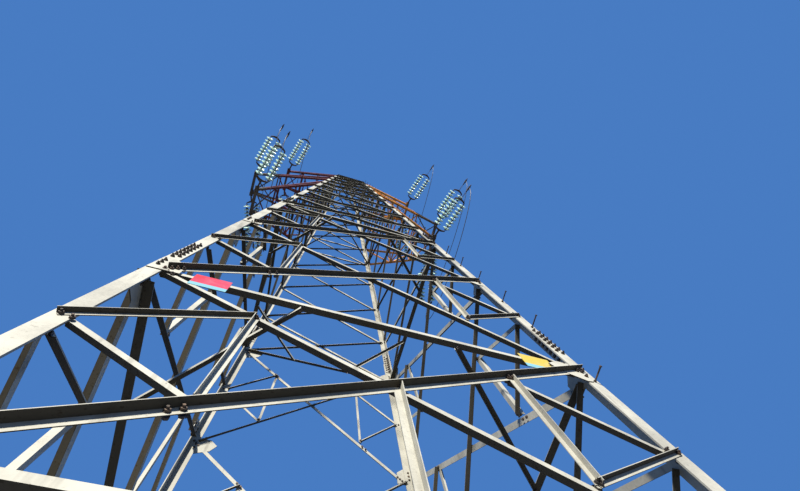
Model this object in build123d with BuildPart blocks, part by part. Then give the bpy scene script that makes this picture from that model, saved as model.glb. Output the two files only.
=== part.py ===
"""Lattice strain pylon for two circuits: three cross-arms a side and one earth-wire peak.

Millimetres, +Z up, origin at ground level on the tower's centre line. X runs along the
cross-arms and Y along the line. The four faces of the body are one square pyramid cut off
at the top, so every face lattice is drawn once, in the sloping plane of its own face.
"""

import os
from math import cos, pi, radians, sin, sqrt

from build123d import *

os.makedirs("parts", exist_ok=True)

# Body: half width at the main strut and how fast it narrows
strut_level = 6300
strut_half_width = 2150
taper = 0.0615
cap_height, cap_width, cap_base_width = 450, 760, 900
foot_plate, foot_plate_thickness = 460, 30
anchor_spacing, anchor_hole_radius = 340, 18

# Panel levels above ground
lower_level = 3500
mid_level = 9600
splice_level = 12750
short_panel_level = 14600
upper_levels = (16650, 18650)
arm_levels = {"lower": 20600, "middle": 24100, "upper": 27700}
arm_heights = {"lower": 1750, "middle": 1800, "upper": 1050}
body_top = 28900
peak_top = 31200

# Leg and bracing angles
lower_leg, upper_leg, leg_thickness = 140, 125, 14
splice_start, splice_length, splice_cover = 400, 750, 12
leg_change = splice_level + splice_start + splice_length / 2
bar_thickness = 6
main_bar, strut_bar, body_bar, light_bar = 65, 60, 55, 45
side_scale, behind_scale = 1.45, 0.75
outer_inset = 45
inner_inset = 125
upper_inner_inset = 100
packing_radius = 22
gusset_inset = 180

# Gusset outlines: distance in from the body's edge, distance above the joint's level
gusset_thickness = 10
start_gusset = ((8, 340), (120, 340), (270, 210), (290, -60), (8, -60))
end_gusset = ((80, -260), (150, -280), (360, -170), (440, -20), (310, 90), (80, 90))

# Plan bracing, climbing bolts and circuit plates
plan_lift, plan_corner = 140, 150
plan_share = 0.35
step_pitch, step_reach, step_radius = 1030, 170, 9
first_step, step_inset, step_clear = 6070, 50, 90
sign_width, sign_height, sign_thickness = 325, 310, 4
sign_offset, sign_drop = 1590, 45

# Cross-arms
arm_reach = {"lower": 3400, "middle": 4060, "upper": 3100}
tip_half_depth = 390
chord_bar, arm_bar = 80, 45
root_plate, root_plate_thickness = 150, 12
end_plate, end_plate_margin, end_plate_thickness = 330, 60, 10
arm_bays = (0.36, 0.68)
tip_height, tip_overhang = 170, 60
tip_lug, tip_lug_thickness = 150, 16

# Strings of cap-and-pin insulators
line_angle, string_sag = 16.5, 6
disc_count, disc_pitch, disc_radius, disc_neck = 8, 146, 140, 42
disc_rim = 0.6
string_spacing = 400
link_length, link_radius = 300, 16
yoke_width, yoke_thickness, yoke_rise = 60, 20, 90
extension_length = 330
clamp_length, clamp_radius = 300, 28
pin_length, terminal_length = 60, 110

# Jumper loops
jumper_radius, jumper_drop, jumper_runs = 12, 1000, 10

# Earth-wire peak
peak_cap, earth_link, earth_link_width = 300, 360, 80

slope_length = sqrt(1 + taper**2)


def half_width(height):
    """Half the body's outer width at a height above ground."""
    return strut_half_width - taper * (height - strut_level)


def face_plane(turn):
    """Outer plane of one face of the body: local x level, local y up the slope."""
    front = Vector(0, -half_width(0), 0), Vector(1, 0, 0), Vector(0, -1, taper)
    origin, across, normal = (v.rotate(Axis.Z, turn) for v in front)
    return Plane(origin=origin, x_dir=across, z_dir=normal)


def face_point(plane, x, height, depth=0):
    """Point of a face at a height, a depth behind its outer plane."""
    return plane.from_local_coords(Vector(x, height * slope_length, -depth))


def angle_bar(start, end, back, width, thickness=bar_thickness):
    """Angle bar between two points: its flat leg's back is towards the vector back, and its
    standing leg turns away from it, along the edge on the left of the way it runs."""
    start, end, back = Vector(*start), Vector(*end), Vector(*back)
    along = end - start
    across = along.cross(back).normalized()
    plane = Plane(origin=start, x_dir=across, z_dir=along)
    half = width / 2
    with BuildSketch(plane) as profile:
        with BuildLine():
            Polyline(
                (-half, 0),
                (half, 0),
                (half, thickness),
                (thickness - half, thickness),
                (thickness - half, width),
                (-half, width),
                close=True,
            )
        make_face()
    return extrude(to_extrude=profile.sketch, amount=along.length, mode=Mode.PRIVATE)


def face_bar(plane, start, end, width, inside):
    """Angle bar of a face lattice between two (x, height) points: outside the legs, with its
    standing leg along the upper edge, or a depth inside them, with that leg underneath."""
    left, right = (face_point(plane, *point, inside) for point in sorted((start, end)))
    back = plane.z_dir if inside else -plane.z_dir
    return angle_bar(right, left, back, width)


def share_point(start, end, share):
    """Point a share of the way from start to end, both (x, height)."""
    return tuple(a + (b - a) * share for a, b in zip(start, end))


def packing(plane, x, height):
    """Packing piece between the two bars that cross at a point of the face."""
    spot = Plane(
        origin=face_point(plane, x, height, leg_thickness), x_dir=plane.x_dir, z_dir=plane.z_dir
    )
    with BuildSketch(spot) as pack:
        RegularPolygon(packing_radius, 6)
    return extrude(to_extrude=pack.sketch, amount=leg_thickness, mode=Mode.PRIVATE)


def gusset(plane, side, height, outline):
    """Plate outside a leg's flange that carries the outer bar of a joint."""
    points = [
        (side * (half_width(height + up) - inward), (height + up) * slope_length)
        for inward, up in outline
    ]
    with BuildSketch(plane) as plate:
        with BuildLine():
            Polyline(*points, close=True)
        make_face()
    return extrude(to_extrude=plate.sketch, amount=gusset_thickness, mode=Mode.PRIVATE)


def panel(plane, bottom, top, width, inner_only):
    """Crossed panel between two levels. One diagonal lies outside the legs and the other
    behind them, unless inner_only keeps both behind."""
    low, high = half_width(bottom), half_width(top)
    inset = inner_inset if top < leg_change else upper_inner_inset
    outer, depth = (inset, leg_thickness) if inner_only else (outer_inset, 0)
    bars = [
        face_bar(plane, (-low + outer, bottom), (high - outer, top), width, depth),
        face_bar(plane, (-high + inset, top), (low - inset, bottom), width, leg_thickness),
    ]
    if not inner_only:
        bars.append(packing(plane, 0, bottom + (top - bottom) * low / (low + high)))
    return bars


def tied_panel(plane, bottom, top, width, tie_width):
    """Crossed panel whose outer diagonal ends on gussets, with a lighter one behind the
    legs. Ties join each leg's middle to the middles of the half diagonals beside it, each
    on the other side of the flanges from its diagonal, and those to each other."""
    low, high = half_width(bottom), half_width(top)
    rising = (-low + gusset_inset, bottom), (high - outer_inset, top)
    falling = (-high + inner_inset, top), (low - inner_inset, bottom)
    middle = (0, bottom + (top - bottom) * low / (low + high))
    bars = [
        face_bar(plane, *rising, width, 0),
        face_bar(plane, *falling, width * behind_scale, leg_thickness),
        packing(plane, *middle),
    ]
    mid_height = (bottom + top) / 2
    edge = half_width(mid_height)
    for side in (-1, 1):
        upper = share_point((side * high, top), middle, 0.5)
        lower = share_point((side * low, bottom), middle, 0.5)
        near, behind = (upper, lower) if side < 0 else (lower, upper)
        outer_leg = side * (edge - outer_inset), mid_height
        inner_leg = side * (edge - inner_inset), mid_height
        bars += [
            face_bar(plane, outer_leg, near, tie_width, 0),
            face_bar(plane, inner_leg, behind, tie_width, leg_thickness),
            face_bar(plane, upper, lower, tie_width, 0),
            packing(plane, *upper),
            packing(plane, *lower),
        ]
    bars.append(gusset(plane, -1, bottom, start_gusset))
    bars.append(gusset(plane, 1, top, end_gusset))
    return bars


def strut(plane, height, width, inner_only):
    """Level bar of a face between its two legs."""
    inset = (inner_inset if height < leg_change else upper_inner_inset) if inner_only else outer_inset
    reach = half_width(height) - inset
    inside = leg_thickness if inner_only else 0
    return face_bar(plane, (-reach, height), (reach, height), width, inside)


def base_panel(plane, width, tie_width):
    """Open foot panel: two rakers from the middle of the lower strut to the feet, with a
    light tie from each leg's middle."""
    foot = cap_height + 500
    bars = []
    for side in (-1, 1):
        leg = (side * (half_width(foot) - outer_inset), foot)
        head = (0, lower_level)
        mid = (foot + lower_level) / 2
        tie = (side * (half_width(mid) - outer_inset), mid)
        bars += [
            face_bar(plane, leg, head, width, 0),
            face_bar(plane, tie, share_point(leg, head, 0.5), tie_width, 0),
        ]
    bars.append(packing(plane, *head))
    return bars


def face_lattice(turn, side_face):
    """All the bracing of one face of the body, from the foot panel to the top strut; the
    side faces have heavier bars below the splice."""
    plane = face_plane(turn)
    scale = side_scale if side_face else 1
    main, across, web, light = (w * scale for w in (main_bar, strut_bar, body_bar, light_bar))
    low, high = half_width(lower_level), half_width(strut_level)
    knot = lower_level + (strut_level - lower_level) * low / (low + high)
    bars = [
        *base_panel(plane, main, light),
        strut(plane, lower_level, across, True),
        *tied_panel(plane, lower_level, strut_level, main, light),
        face_bar(plane, (1, lower_level), (0, knot), web, 0),
        strut(plane, strut_level, across, True),
        *tied_panel(plane, strut_level, mid_level, main, light),
        *tied_panel(plane, mid_level, splice_level, across, light),
        strut(plane, splice_level, across, True),
        gusset(plane, -1, splice_level, start_gusset),
    ]
    levels = (splice_level, short_panel_level, *upper_levels, arm_levels["lower"])
    for bottom, top in zip(levels, levels[1:]):
        inner = side_face and bottom > splice_level
        bars += panel(plane, bottom, top, body_bar, inner)
    for arm, level in arm_levels.items():
        chord = level + arm_heights[arm]
        bars += [strut(plane, height, body_bar, side_face) for height in (level, chord)]
        bars += panel(plane, level, chord, body_bar, side_face)
        above = [other for other in arm_levels.values() if other > chord]
        if above:
            bars += panel(plane, chord, above[0], body_bar, side_face)
    return bars


def leg_profile(height, side_x, side_y, width, thickness=leg_thickness, inset=0):
    """Level cut through a leg: an angle with its corner on the body's edge."""
    corner = half_width(height) - inset
    x, y = side_x * corner, side_y * corner
    far_x, far_y = x - side_x * width, y - side_y * width
    in_x, in_y = x - side_x * thickness, y - side_y * thickness
    with BuildSketch(Plane.XY.offset(height)) as profile:
        with BuildLine():
            Polyline(
                (x, y), (far_x, y), (far_x, in_y), (in_x, in_y), (in_x, far_y), (x, far_y),
                close=True,
            )
        make_face()
    return profile.sketch


def leg_run(bottom, top, side_x, side_y, width, thickness=leg_thickness, inset=0):
    """Sloping length of leg angle, cut level at both ends."""
    ends = [leg_profile(h, side_x, side_y, width, thickness, inset) for h in (bottom, top)]
    loft(sections=ends, ruled=True)


def foot_centre(side_x, side_y):
    """Plan centre of a foot: under the middle of the leg's two flanges."""
    corner = half_width(cap_height) - lower_leg / 2 + 30
    return side_x * corner, side_y * corner


sides = {
    "front_left": (-1, -1),
    "front_right": (1, -1),
    "back_left": (-1, 1),
    "back_right": (1, 1),
}

# Concrete foundation caps
with BuildPart() as footings:
    for side in sides.values():
        x, y = foot_centre(*side)
        with BuildSketch(Plane.XY.offset(0)) as under:
            with Locations((x, y)):
                Rectangle(cap_base_width, cap_base_width)
        with BuildSketch(Plane.XY.offset(cap_height)) as over:
            with Locations((x, y)):
                Rectangle(cap_width, cap_width)
        loft(sections=[under.sketch, over.sketch], ruled=True)
footings.part.label = "footings"
export_step(footings.part, "parts/footings.step")

# Legs: heavy angle below the splice, lighter above, each on its bolted foot plate
for name, side in sides.items():
    with BuildPart() as leg:
        plate_top = cap_height + foot_plate_thickness
        with BuildSketch(Plane.XY.offset(cap_height)) as plate:
            with Locations(foot_centre(*side)):
                Rectangle(foot_plate, foot_plate)
                with GridLocations(anchor_spacing, anchor_spacing, 2, 2):
                    Circle(anchor_hole_radius, mode=Mode.SUBTRACT)
        extrude(to_extrude=plate.sketch, amount=foot_plate_thickness)
        leg_run(plate_top, leg_change, *side, lower_leg)
        leg_run(leg_change, body_top, *side, upper_leg)
        for level in (strut_level, splice_level):
            start = level + splice_start
            cover = upper_leg - leg_thickness, splice_cover, leg_thickness
            leg_run(start, start + splice_length, *side, *cover)
    leg.part.label = "leg_" + name
    export_step(leg.part, "parts/leg_" + name + ".step")

# Face lattices: the back repeats the front and the right repeats the left, turned half round
for name, turn, repeat in (("front", 0, "back"), ("left", 270, "right")):
    with BuildPart() as lattice:
        add(face_lattice(turn, name == "left"))
    with BuildPart() as turned:
        with Locations(Location((0, 0, 0), (0, 0, 180))):
            add(lattice.part)
    for made, called in ((lattice, name), (turned, repeat)):
        made.part.label = "lattice_" + called
        export_step(made.part, "parts/lattice_" + called + ".step")

# Plan bracing: across the body at each arm, and cutting the corners under the main struts
front_plane = face_plane(0)
with BuildPart() as plan_bracing:
    for level in (strut_level, splice_level):
        near = half_width(level) * plan_share
        (front_far, front_under), (side_far, side_under) = (
            (half_width(level) - seat, face_point(front_plane, 0, level - half, seat).Z)
            for half in (strut_bar / 2, strut_bar * side_scale / 2)
            for seat in (leg_thickness + half,)
        )
        for side_x, side_y in sides.values():
            ends = (
                (side_x * near, side_y * front_far, front_under),
                (side_x * side_far, side_y * near, side_under),
            )
            add(angle_bar(*ends, (0, 0, 1), body_bar))
    for level in arm_levels.values():
        base = level + plan_lift
        corner = half_width(base + bar_thickness) - leg_thickness
        for side_x, side_y in sides.values():
            with BuildSketch(Plane.XY.offset(base)) as plate:
                with BuildLine():
                    Polyline(
                        (side_x * corner, side_y * corner),
                        (side_x * (corner - plan_corner), side_y * corner),
                        (side_x * corner, side_y * (corner - plan_corner)),
                        close=True,
                    )
                make_face()
            extrude(to_extrude=plate.sketch, amount=bar_thickness)
        inner = corner - plan_corner * 0.4
        for side in (-1, 1):
            ends = (-side * inner, -inner, base), (side * inner, inner, base)
            add(angle_bar(*ends, (0, 0, -1), light_bar))
plan_bracing.part.label = "plan_bracing"
export_step(plan_bracing.part, "parts/plan_bracing.step")

# Climbing bolts up the front right leg, moved up where bars or splices cover the flange
levels = [
    lower_level, strut_level, mid_level, splice_level, short_panel_level, *upper_levels,
    *arm_levels.values(), *(arm_levels[a] + arm_heights[a] for a in arm_levels),
]
mids = [
    (bottom + top) / 2
    for bottom, top in (
        (lower_level, strut_level), (strut_level, mid_level), (mid_level, splice_level)
    )
]
with BuildPart() as step_bolts:
    height = first_step
    while height < body_top - step_clear:
        for level in sorted(levels + mids):
            spliced = level in (strut_level, splice_level)
            clear = step_clear + (splice_start + splice_length if spliced else 0)
            if level - step_clear < height < level + clear:
                height = level + clear
        spot = Plane(
            origin=face_point(front_plane, half_width(height) - step_inset, height),
            x_dir=front_plane.x_dir,
            z_dir=front_plane.z_dir,
        )
        with BuildSketch(spot) as rod:
            RegularPolygon(step_radius, 6)
        extrude(to_extrude=rod.sketch, amount=step_reach)
        height += step_pitch
step_bolts.part.label = "step_bolts"
export_step(step_bolts.part, "parts/step_bolts.step")

# Bare circuit plates on the main strut of the front
for name, side in (("left", -1), ("right", 1)):
    with BuildPart() as sign:
        middle = face_point(
            front_plane, side * sign_offset, strut_level - sign_drop, leg_thickness
        )
        spot = Plane(origin=middle, x_dir=front_plane.x_dir, z_dir=front_plane.z_dir)
        with BuildSketch(spot):
            Rectangle(sign_width, sign_height)
        extrude(amount=sign_thickness)
    sign.part.label = "circuit_plate_" + name
    export_step(sign.part, "parts/circuit_plate_" + name + ".step")


def cross_arm(arm, side):
    """Square-ended cross-arm: level bottom chords, sloping top chords and light bars."""
    level, reach = arm_levels[arm], arm_reach[arm]
    top = level + arm_heights[arm]
    low_y, high_y = half_width(level) - 50, half_width(top) - 50

    def chord_point(share, end, upper):
        """Point of a chord a share of the way from the leg to the tip."""
        root = (half_width(top), high_y, top) if upper else (half_width(level), low_y, level)
        tip = (reach, tip_half_depth, level + (tip_height if upper else 0))
        x, y, z = (a + (b - a) * share for a, b in zip(root, tip))
        return side * x, end * y, z

    stations = (0.02, *arm_bays, 1)
    bays = list(zip(stations, stations[1:]))
    level_back = (0, 0, -1)
    bars = []
    for end in (-1, 1):
        for upper in (False, True):
            root, tip = chord_point(-0.03, end, upper), chord_point(1, end, upper)
            run = (root, tip) if side * end < 0 else (tip, root)
            bars.append(angle_bar(*run, level_back, chord_bar))
        for share in arm_bays:
            post = chord_point(share, end, False), chord_point(share, end, True)
            bars.append(angle_bar(*post, (0, -end, 0), arm_bar))
        for i, (a, b) in enumerate(bays):
            brace = chord_point(a, end, i % 2 == 0), chord_point(b, end, i % 2 == 1)
            bars.append(angle_bar(*brace, (0, -end, 0), arm_bar))
        post = side * reach, end * tip_half_depth
        bars.append(angle_bar((*post, level), (*post, level + tip_height), (side, 0, 0), chord_bar))
        with BuildSketch(Plane.XY.offset(level - tip_lug_thickness)) as lug:
            with Locations((side * (reach - tip_lug / 4), end * (tip_half_depth + tip_lug / 3))):
                Rectangle(tip_lug, tip_lug * 1.6)
        bars.append(extrude(to_extrude=lug.sketch, amount=tip_lug_thickness, mode=Mode.PRIVATE))
        tip_side = Plane(
            origin=(
                side * (reach + end_plate_margin - end_plate / 2),
                end * (tip_half_depth + chord_bar / 2),
                level + tip_height / 2,
            ),
            x_dir=(1, 0, 0),
            z_dir=(0, end, 0),
        )
        with BuildSketch(tip_side) as plate:
            Rectangle(end_plate, tip_height + 2 * end_plate_margin)
            chamfer(plate.vertices(), end_plate_margin)
        bars.append(
            extrude(to_extrude=plate.sketch, amount=end_plate_thickness, mode=Mode.PRIVATE)
        )
    beam = tip_half_depth + tip_overhang
    for height in (level, level + tip_height):
        ends = (side * reach, -beam, height), (side * reach, beam, height)
        bars.append(angle_bar(*ends, level_back, chord_bar))
    for share in arm_bays:
        for upper in (False, True):
            tie = chord_point(share, -1, upper), chord_point(share, 1, upper)
            bars.append(angle_bar(*tie, level_back, arm_bar))
    for i, (a, b) in enumerate(bays):
        end = 1 if i % 2 else -1
        brace = chord_point(a, end, False), chord_point(b, -end, False)
        bars.append(angle_bar(*brace, level_back, arm_bar))
    brace = chord_point(arm_bays[-1], 1, False), chord_point(1, -1, False)
    bars.append(angle_bar(*brace, level_back, arm_bar))
    add(bars)
    wall = face_plane(90 * side)
    split(bisect_by=wall, keep=Keep.TOP)
    for height in (level, top):
        for end in (-1, 1):
            spot = Plane(
                origin=face_point(wall, end * (half_width(height) - root_plate / 2 - 5), height),
                x_dir=wall.x_dir,
                z_dir=wall.z_dir,
            )
            with BuildSketch(spot) as plate:
                Rectangle(root_plate, root_plate)
            extrude(to_extrude=plate.sketch, amount=root_plate_thickness)


# Cross-arms: the right one mirrors the left
for arm in arm_levels:
    with BuildPart() as left_arm:
        cross_arm(arm, -1)
    with BuildPart() as right_arm:
        mirror(left_arm.part, about=Plane.YZ)
    for made, name in ((left_arm, "left"), (right_arm, "right")):
        made.part.label = "arm_" + arm + "_" + name
        export_step(made.part, "parts/arm_" + arm + "_" + name + ".step")


# Earth-wire peak: four leaning angles on the leg tops, a middle frame and a cap
with BuildPart() as peak:
    foot = half_width(body_top) - upper_leg / 2
    middle_height = (body_top + peak_top) / 2
    cap = peak_cap / 2 - chord_bar / 2

    def peak_corner(side_x, side_y, share):
        """Point of a leaning angle a share of the way up."""
        inset = foot + (cap - foot) * share
        return side_x * inset, side_y * inset, body_top + (peak_top - body_top) * share

    with BuildSketch(Plane.XY.offset(body_top)):
        with GridLocations(2 * foot, 2 * foot, 2, 2):
            Rectangle(upper_leg, upper_leg)
    extrude(amount=root_plate_thickness)
    with BuildSketch(Plane.XY.offset(peak_top)):
        Rectangle(peak_cap, peak_cap)
    extrude(amount=root_plate_thickness)
    bars = [
        angle_bar(peak_corner(*side, -0.03), peak_corner(*side, 1), (0, side[1], 0), chord_bar)
        for side in sides.values()
    ]
    ring = ((-1, -1), (1, -1), (1, 1), (-1, 1), (-1, -1))
    for start, stop in zip(ring, ring[1:]):
        back = ((start[0] + stop[0]) / 2, (start[1] + stop[1]) / 2, 0)
        for low, high in ((0.04, 0.5), (0.5, 0.97)):
            brace = peak_corner(*start, low), peak_corner(*stop, high)
            bars.append(angle_bar(*brace, back, arm_bar))
        for share in (0.04, 0.5):
            tie = peak_corner(*start, share), peak_corner(*stop, share)
            bars.append(angle_bar(*tie, back, arm_bar))
    add(bars)
    split(bisect_by=Plane.XY.offset(body_top), keep=Keep.TOP)
    for end in (-1, 1):
        with BuildSketch(Plane.XY.offset(peak_top + root_plate_thickness)):
            with Locations((0, end * peak_cap / 2)):
                Rectangle(earth_link_width, earth_link)
        extrude(amount=tip_lug_thickness)
peak.part.label = "earth_wire_peak"
export_step(peak.part, "parts/earth_wire_peak.step")

# One double string, its link level and the rest hanging below the line of pull
half_spacing, half_yoke = string_spacing / 2, yoke_width / 2
yoke_centre = 2 * half_yoke
disc_start = yoke_rise + pin_length
disc_end = disc_start + disc_count * disc_pitch
far_yoke = disc_end + pin_length
clamp_start = far_yoke + yoke_rise + extension_length
string_drop = radians(string_sag)
pull = Plane(
    origin=(link_length - yoke_centre / 2, 0, -tip_lug_thickness / 2),
    x_dir=(0, 1, 0),
    z_dir=(cos(string_drop), 0, -sin(string_drop)),
)


def yoke(start, turn):
    """Bowed yoke bar seen from above, open towards the discs."""
    outline = [
        (0, -yoke_centre), (0, yoke_centre), (yoke_rise * 0.75, half_spacing + half_yoke),
        (yoke_rise, half_spacing + half_yoke), (yoke_rise, half_spacing - half_yoke),
        (yoke_rise * 0.9, half_spacing - half_yoke), (yoke_centre, half_yoke),
        (yoke_centre, -half_yoke), (yoke_rise * 0.9, half_yoke - half_spacing),
        (yoke_rise, half_yoke - half_spacing), (yoke_rise, -half_spacing - half_yoke),
        (yoke_rise * 0.75, -half_spacing - half_yoke),
    ]
    points = [(start + turn * along, across) for along, across in outline]
    flat = Plane(
        origin=pull.from_local_coords(Vector(0, -yoke_thickness / 2, 0)),
        x_dir=pull.z_dir,
        z_dir=pull.z_dir.cross(pull.x_dir),
    )
    with BuildSketch(flat) as plate:
        with BuildLine():
            Polyline(*points, close=True)
        make_face()
    extrude(to_extrude=plate.sketch, amount=yoke_thickness)


with BuildPart() as string_set:
    with BuildSketch(Plane.XY) as link:
        Rectangle(link_length, 2 * yoke_centre * 0.5, align=(Align.MIN, Align.CENTER))
    extrude(to_extrude=link.sketch, amount=-tip_lug_thickness)
    yoke(0, 1)
    yoke(far_yoke + yoke_rise, -1)
    for across in (-half_spacing, half_spacing):
        sections = []
        steps = [(disc_start, disc_neck)]
        for i in range(disc_count):
            steps.append((disc_start + (i + disc_rim) * disc_pitch, disc_radius))
            steps.append((disc_start + (i + 1) * disc_pitch, disc_neck))
        for distance, radius in steps:
            with BuildSketch(pull.offset(distance)) as section:
                with Locations((across, 0)):
                    RegularPolygon(radius, 6)
            sections.append(section.sketch)
        loft(sections=sections, ruled=True)
        with BuildSketch(pull.offset(yoke_rise * 0.8)) as pin:
            with Locations((across, 0)):
                RegularPolygon(link_radius, 6)
        extrude(to_extrude=pin.sketch, amount=far_yoke + yoke_rise * 0.2 - yoke_rise * 0.8)
    with BuildSketch(pull.offset(far_yoke + yoke_rise - yoke_centre)) as extension:
        RegularPolygon(link_radius, 6)
    extrude(to_extrude=extension.sketch, amount=extension_length + yoke_centre)
    with BuildSketch(pull.offset(clamp_start)) as clamp:
        RegularPolygon(clamp_radius, 6)
    extrude(to_extrude=clamp.sketch, amount=clamp_length)
    tail = pull.from_local_coords(Vector(0, 0, clamp_start + clamp_length / 2))
    with BuildSketch(Plane(origin=tail, x_dir=(1, 0, 0), z_dir=(0, 0, -1))) as terminal:
        RegularPolygon(link_radius, 6)
    extrude(to_extrude=terminal.sketch, amount=terminal_length)


def string_spot(arm, side, end):
    """Where a double string starts: under its tip lug, turned along its span."""
    x = side * (arm_reach[arm] - tip_lug / 4)
    y = end * (tip_half_depth + tip_lug * (1 / 3 + 0.8) - yoke_width)
    z = arm_levels[arm] - tip_lug_thickness
    return Location((x, y, z), (0, 0, end * (90 - line_angle)))


for name, side in (("left", -1), ("right", 1)):
    for arm in arm_levels:
        with BuildPart() as strings:
            with Locations(*(string_spot(arm, side, end) for end in (-1, 1))):
                add(string_set.part)
        strings.part.label = "strings_" + arm + "_" + name
        export_step(strings.part, "parts/strings_" + arm + "_" + name + ".step")

    # Jumper loops under the arms, from clamp to clamp
    with BuildPart() as jumpers:
        for arm in arm_levels:
            near, far = (
                (string_spot(arm, side, end) * Location(tail - Vector(0, 0, terminal_length))).position
                for end in (-1, 1)
            )
            middle = (near + far) * 0.5 - Vector(0, 0, terminal_length)
            route = [near]
            for i in range(jumper_runs + 1):
                swing = pi * i / jumper_runs
                route.append(
                    middle + (near - far) * 0.5 * cos(swing) - Vector(0, 0, jumper_drop * sin(swing))
                )
            route.append(far)
            with BuildLine() as path:
                Polyline(*route)
            with BuildSketch(Plane(origin=near, x_dir=(1, 0, 0), z_dir=(0, 0, -1))) as section:
                RegularPolygon(jumper_radius, 6)
            sweep(sections=section.sketch, path=path.line, transition=Transition.RIGHT)
    jumpers.part.label = "jumpers_" + name
    export_step(jumpers.part, "parts/jumpers_" + name + ".step")
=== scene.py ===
"""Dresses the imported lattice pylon: weathered steel, old paint, glass strings, bolts, studio.

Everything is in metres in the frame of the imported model: X along the cross-arms, Y along the
line, Z up, with the front face towards -Y and the ground at Z = 0.
"""

from __future__ import annotations

import logging
import math
from collections.abc import Iterable, Mapping, Sequence
from dataclasses import dataclass, field
from enum import Enum

import bmesh
import bpy
from mathutils import Matrix, Vector

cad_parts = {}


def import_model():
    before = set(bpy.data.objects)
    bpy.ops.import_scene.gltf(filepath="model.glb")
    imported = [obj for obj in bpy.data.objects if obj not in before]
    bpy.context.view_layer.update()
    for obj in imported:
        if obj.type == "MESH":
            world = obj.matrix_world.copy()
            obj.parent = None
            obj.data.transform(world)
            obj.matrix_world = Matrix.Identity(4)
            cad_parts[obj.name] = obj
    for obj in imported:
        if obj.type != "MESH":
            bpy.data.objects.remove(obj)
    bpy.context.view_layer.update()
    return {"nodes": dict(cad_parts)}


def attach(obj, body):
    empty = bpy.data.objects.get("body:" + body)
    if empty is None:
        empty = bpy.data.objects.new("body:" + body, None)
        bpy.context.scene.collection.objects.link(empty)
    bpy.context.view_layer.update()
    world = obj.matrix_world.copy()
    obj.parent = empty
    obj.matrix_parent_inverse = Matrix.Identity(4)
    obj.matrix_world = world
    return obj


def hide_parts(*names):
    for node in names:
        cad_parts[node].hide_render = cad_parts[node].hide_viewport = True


log = logging.getLogger("pylon")

BODY = "root"
Colour = tuple[float, float, float]
Point = tuple[float, float]
Outline = tuple[Point, ...]

SIDES = (-1, 1)
CORNERS = tuple((x, y) for x in SIDES for y in SIDES)
DOWN = Vector((0.0, 0.0, -1.0))
QUARTER = math.pi / 2
BOW_STEPS = 8
BOW = tuple(math.pi * i / BOW_STEPS for i in range(BOW_STEPS + 1))


# Node trees


class Graph:
    """A node tree under construction."""

    def __init__(self, tree: bpy.types.NodeTree) -> None:
        """Takes the tree that the nodes go into."""
        self.tree = tree

    def feed(self, socket: bpy.types.NodeSocket, value: object) -> None:
        """Gives an input its value.

        Args:
            socket: The input.
            value: A signal or an output to link, or a plain value.
        """
        if isinstance(value, Signal):
            value = value.socket
        if isinstance(value, bpy.types.NodeSocket):
            self.tree.links.new(value, socket)
        else:
            socket.default_value = value

    def node(
        self, kind: str, settings: Mapping[str, object], sockets: Mapping[int | str, object]
    ) -> bpy.types.Node:
        """Adds a node.

        Args:
            kind: The node's type.
            settings: Its properties, set before its sockets.
            sockets: Values, signals or outputs for its inputs, by name or number.

        Returns:
            The node.
        """
        node = self.tree.nodes.new(kind)
        for name, value in settings.items():
            setattr(node, name, value)
        for key, value in sockets.items():
            self.feed(node.inputs[key], value)
        return node

    def output(
        self,
        kind: str,
        settings: Mapping[str, object],
        sockets: Mapping[int | str, object],
        key: int | str = 0,
    ) -> bpy.types.NodeSocket:
        """Adds a node as node does and gives the one output that the key names."""
        return self.node(kind, settings, sockets).outputs[key]


class Signal:
    """A number that varies over a surface or a mesh; arithmetic on it adds Math nodes."""

    def __init__(self, graph: Graph, socket: bpy.types.NodeSocket) -> None:
        """Wraps the output that gives the number."""
        self.graph = graph
        self.socket = socket

    def math(self, operation: str, *operands: Signal | float) -> Signal:
        """Adds one Math node.

        Args:
            operation: The Math node's operation.
            *operands: Its inputs in order, signals or plain numbers.

        Returns:
            The node's result.
        """
        inputs = dict(enumerate(operands))
        made = self.graph.output("ShaderNodeMath", {"operation": operation}, inputs)
        return Signal(self.graph, made)

    def __add__(self, other: Signal | float) -> Signal:
        """Sum."""
        return self.math("ADD", self, other)

    __radd__ = __add__

    def __sub__(self, other: Signal | float) -> Signal:
        """Difference."""
        return self.math("SUBTRACT", self, other)

    def __rsub__(self, other: float) -> Signal:
        """Difference from a plain number."""
        return self.math("SUBTRACT", other, self)

    def __mul__(self, other: Signal | float) -> Signal:
        """Product."""
        return self.math("MULTIPLY", self, other)

    __rmul__ = __mul__

    def __abs__(self) -> Signal:
        """Size without the sign."""
        return self.math("ABSOLUTE", self)

    def wave(self) -> Signal:
        """Sine."""
        return self.math("SINE", self)

    def between(self, low: float, high: float) -> Signal:
        """Smooth step from 0 at low to 1 at high.

        Args:
            low: Value where the step starts.
            high: Value where it ends; it may be the smaller one, for a falling step.

        Returns:
            The step, held within 0 and 1.
        """
        smooth = {"interpolation_type": "SMOOTHSTEP"}
        made = self.graph.output("ShaderNodeMapRange", smooth, {0: self, 1: low, 2: high})
        return Signal(self.graph, made)


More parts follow.
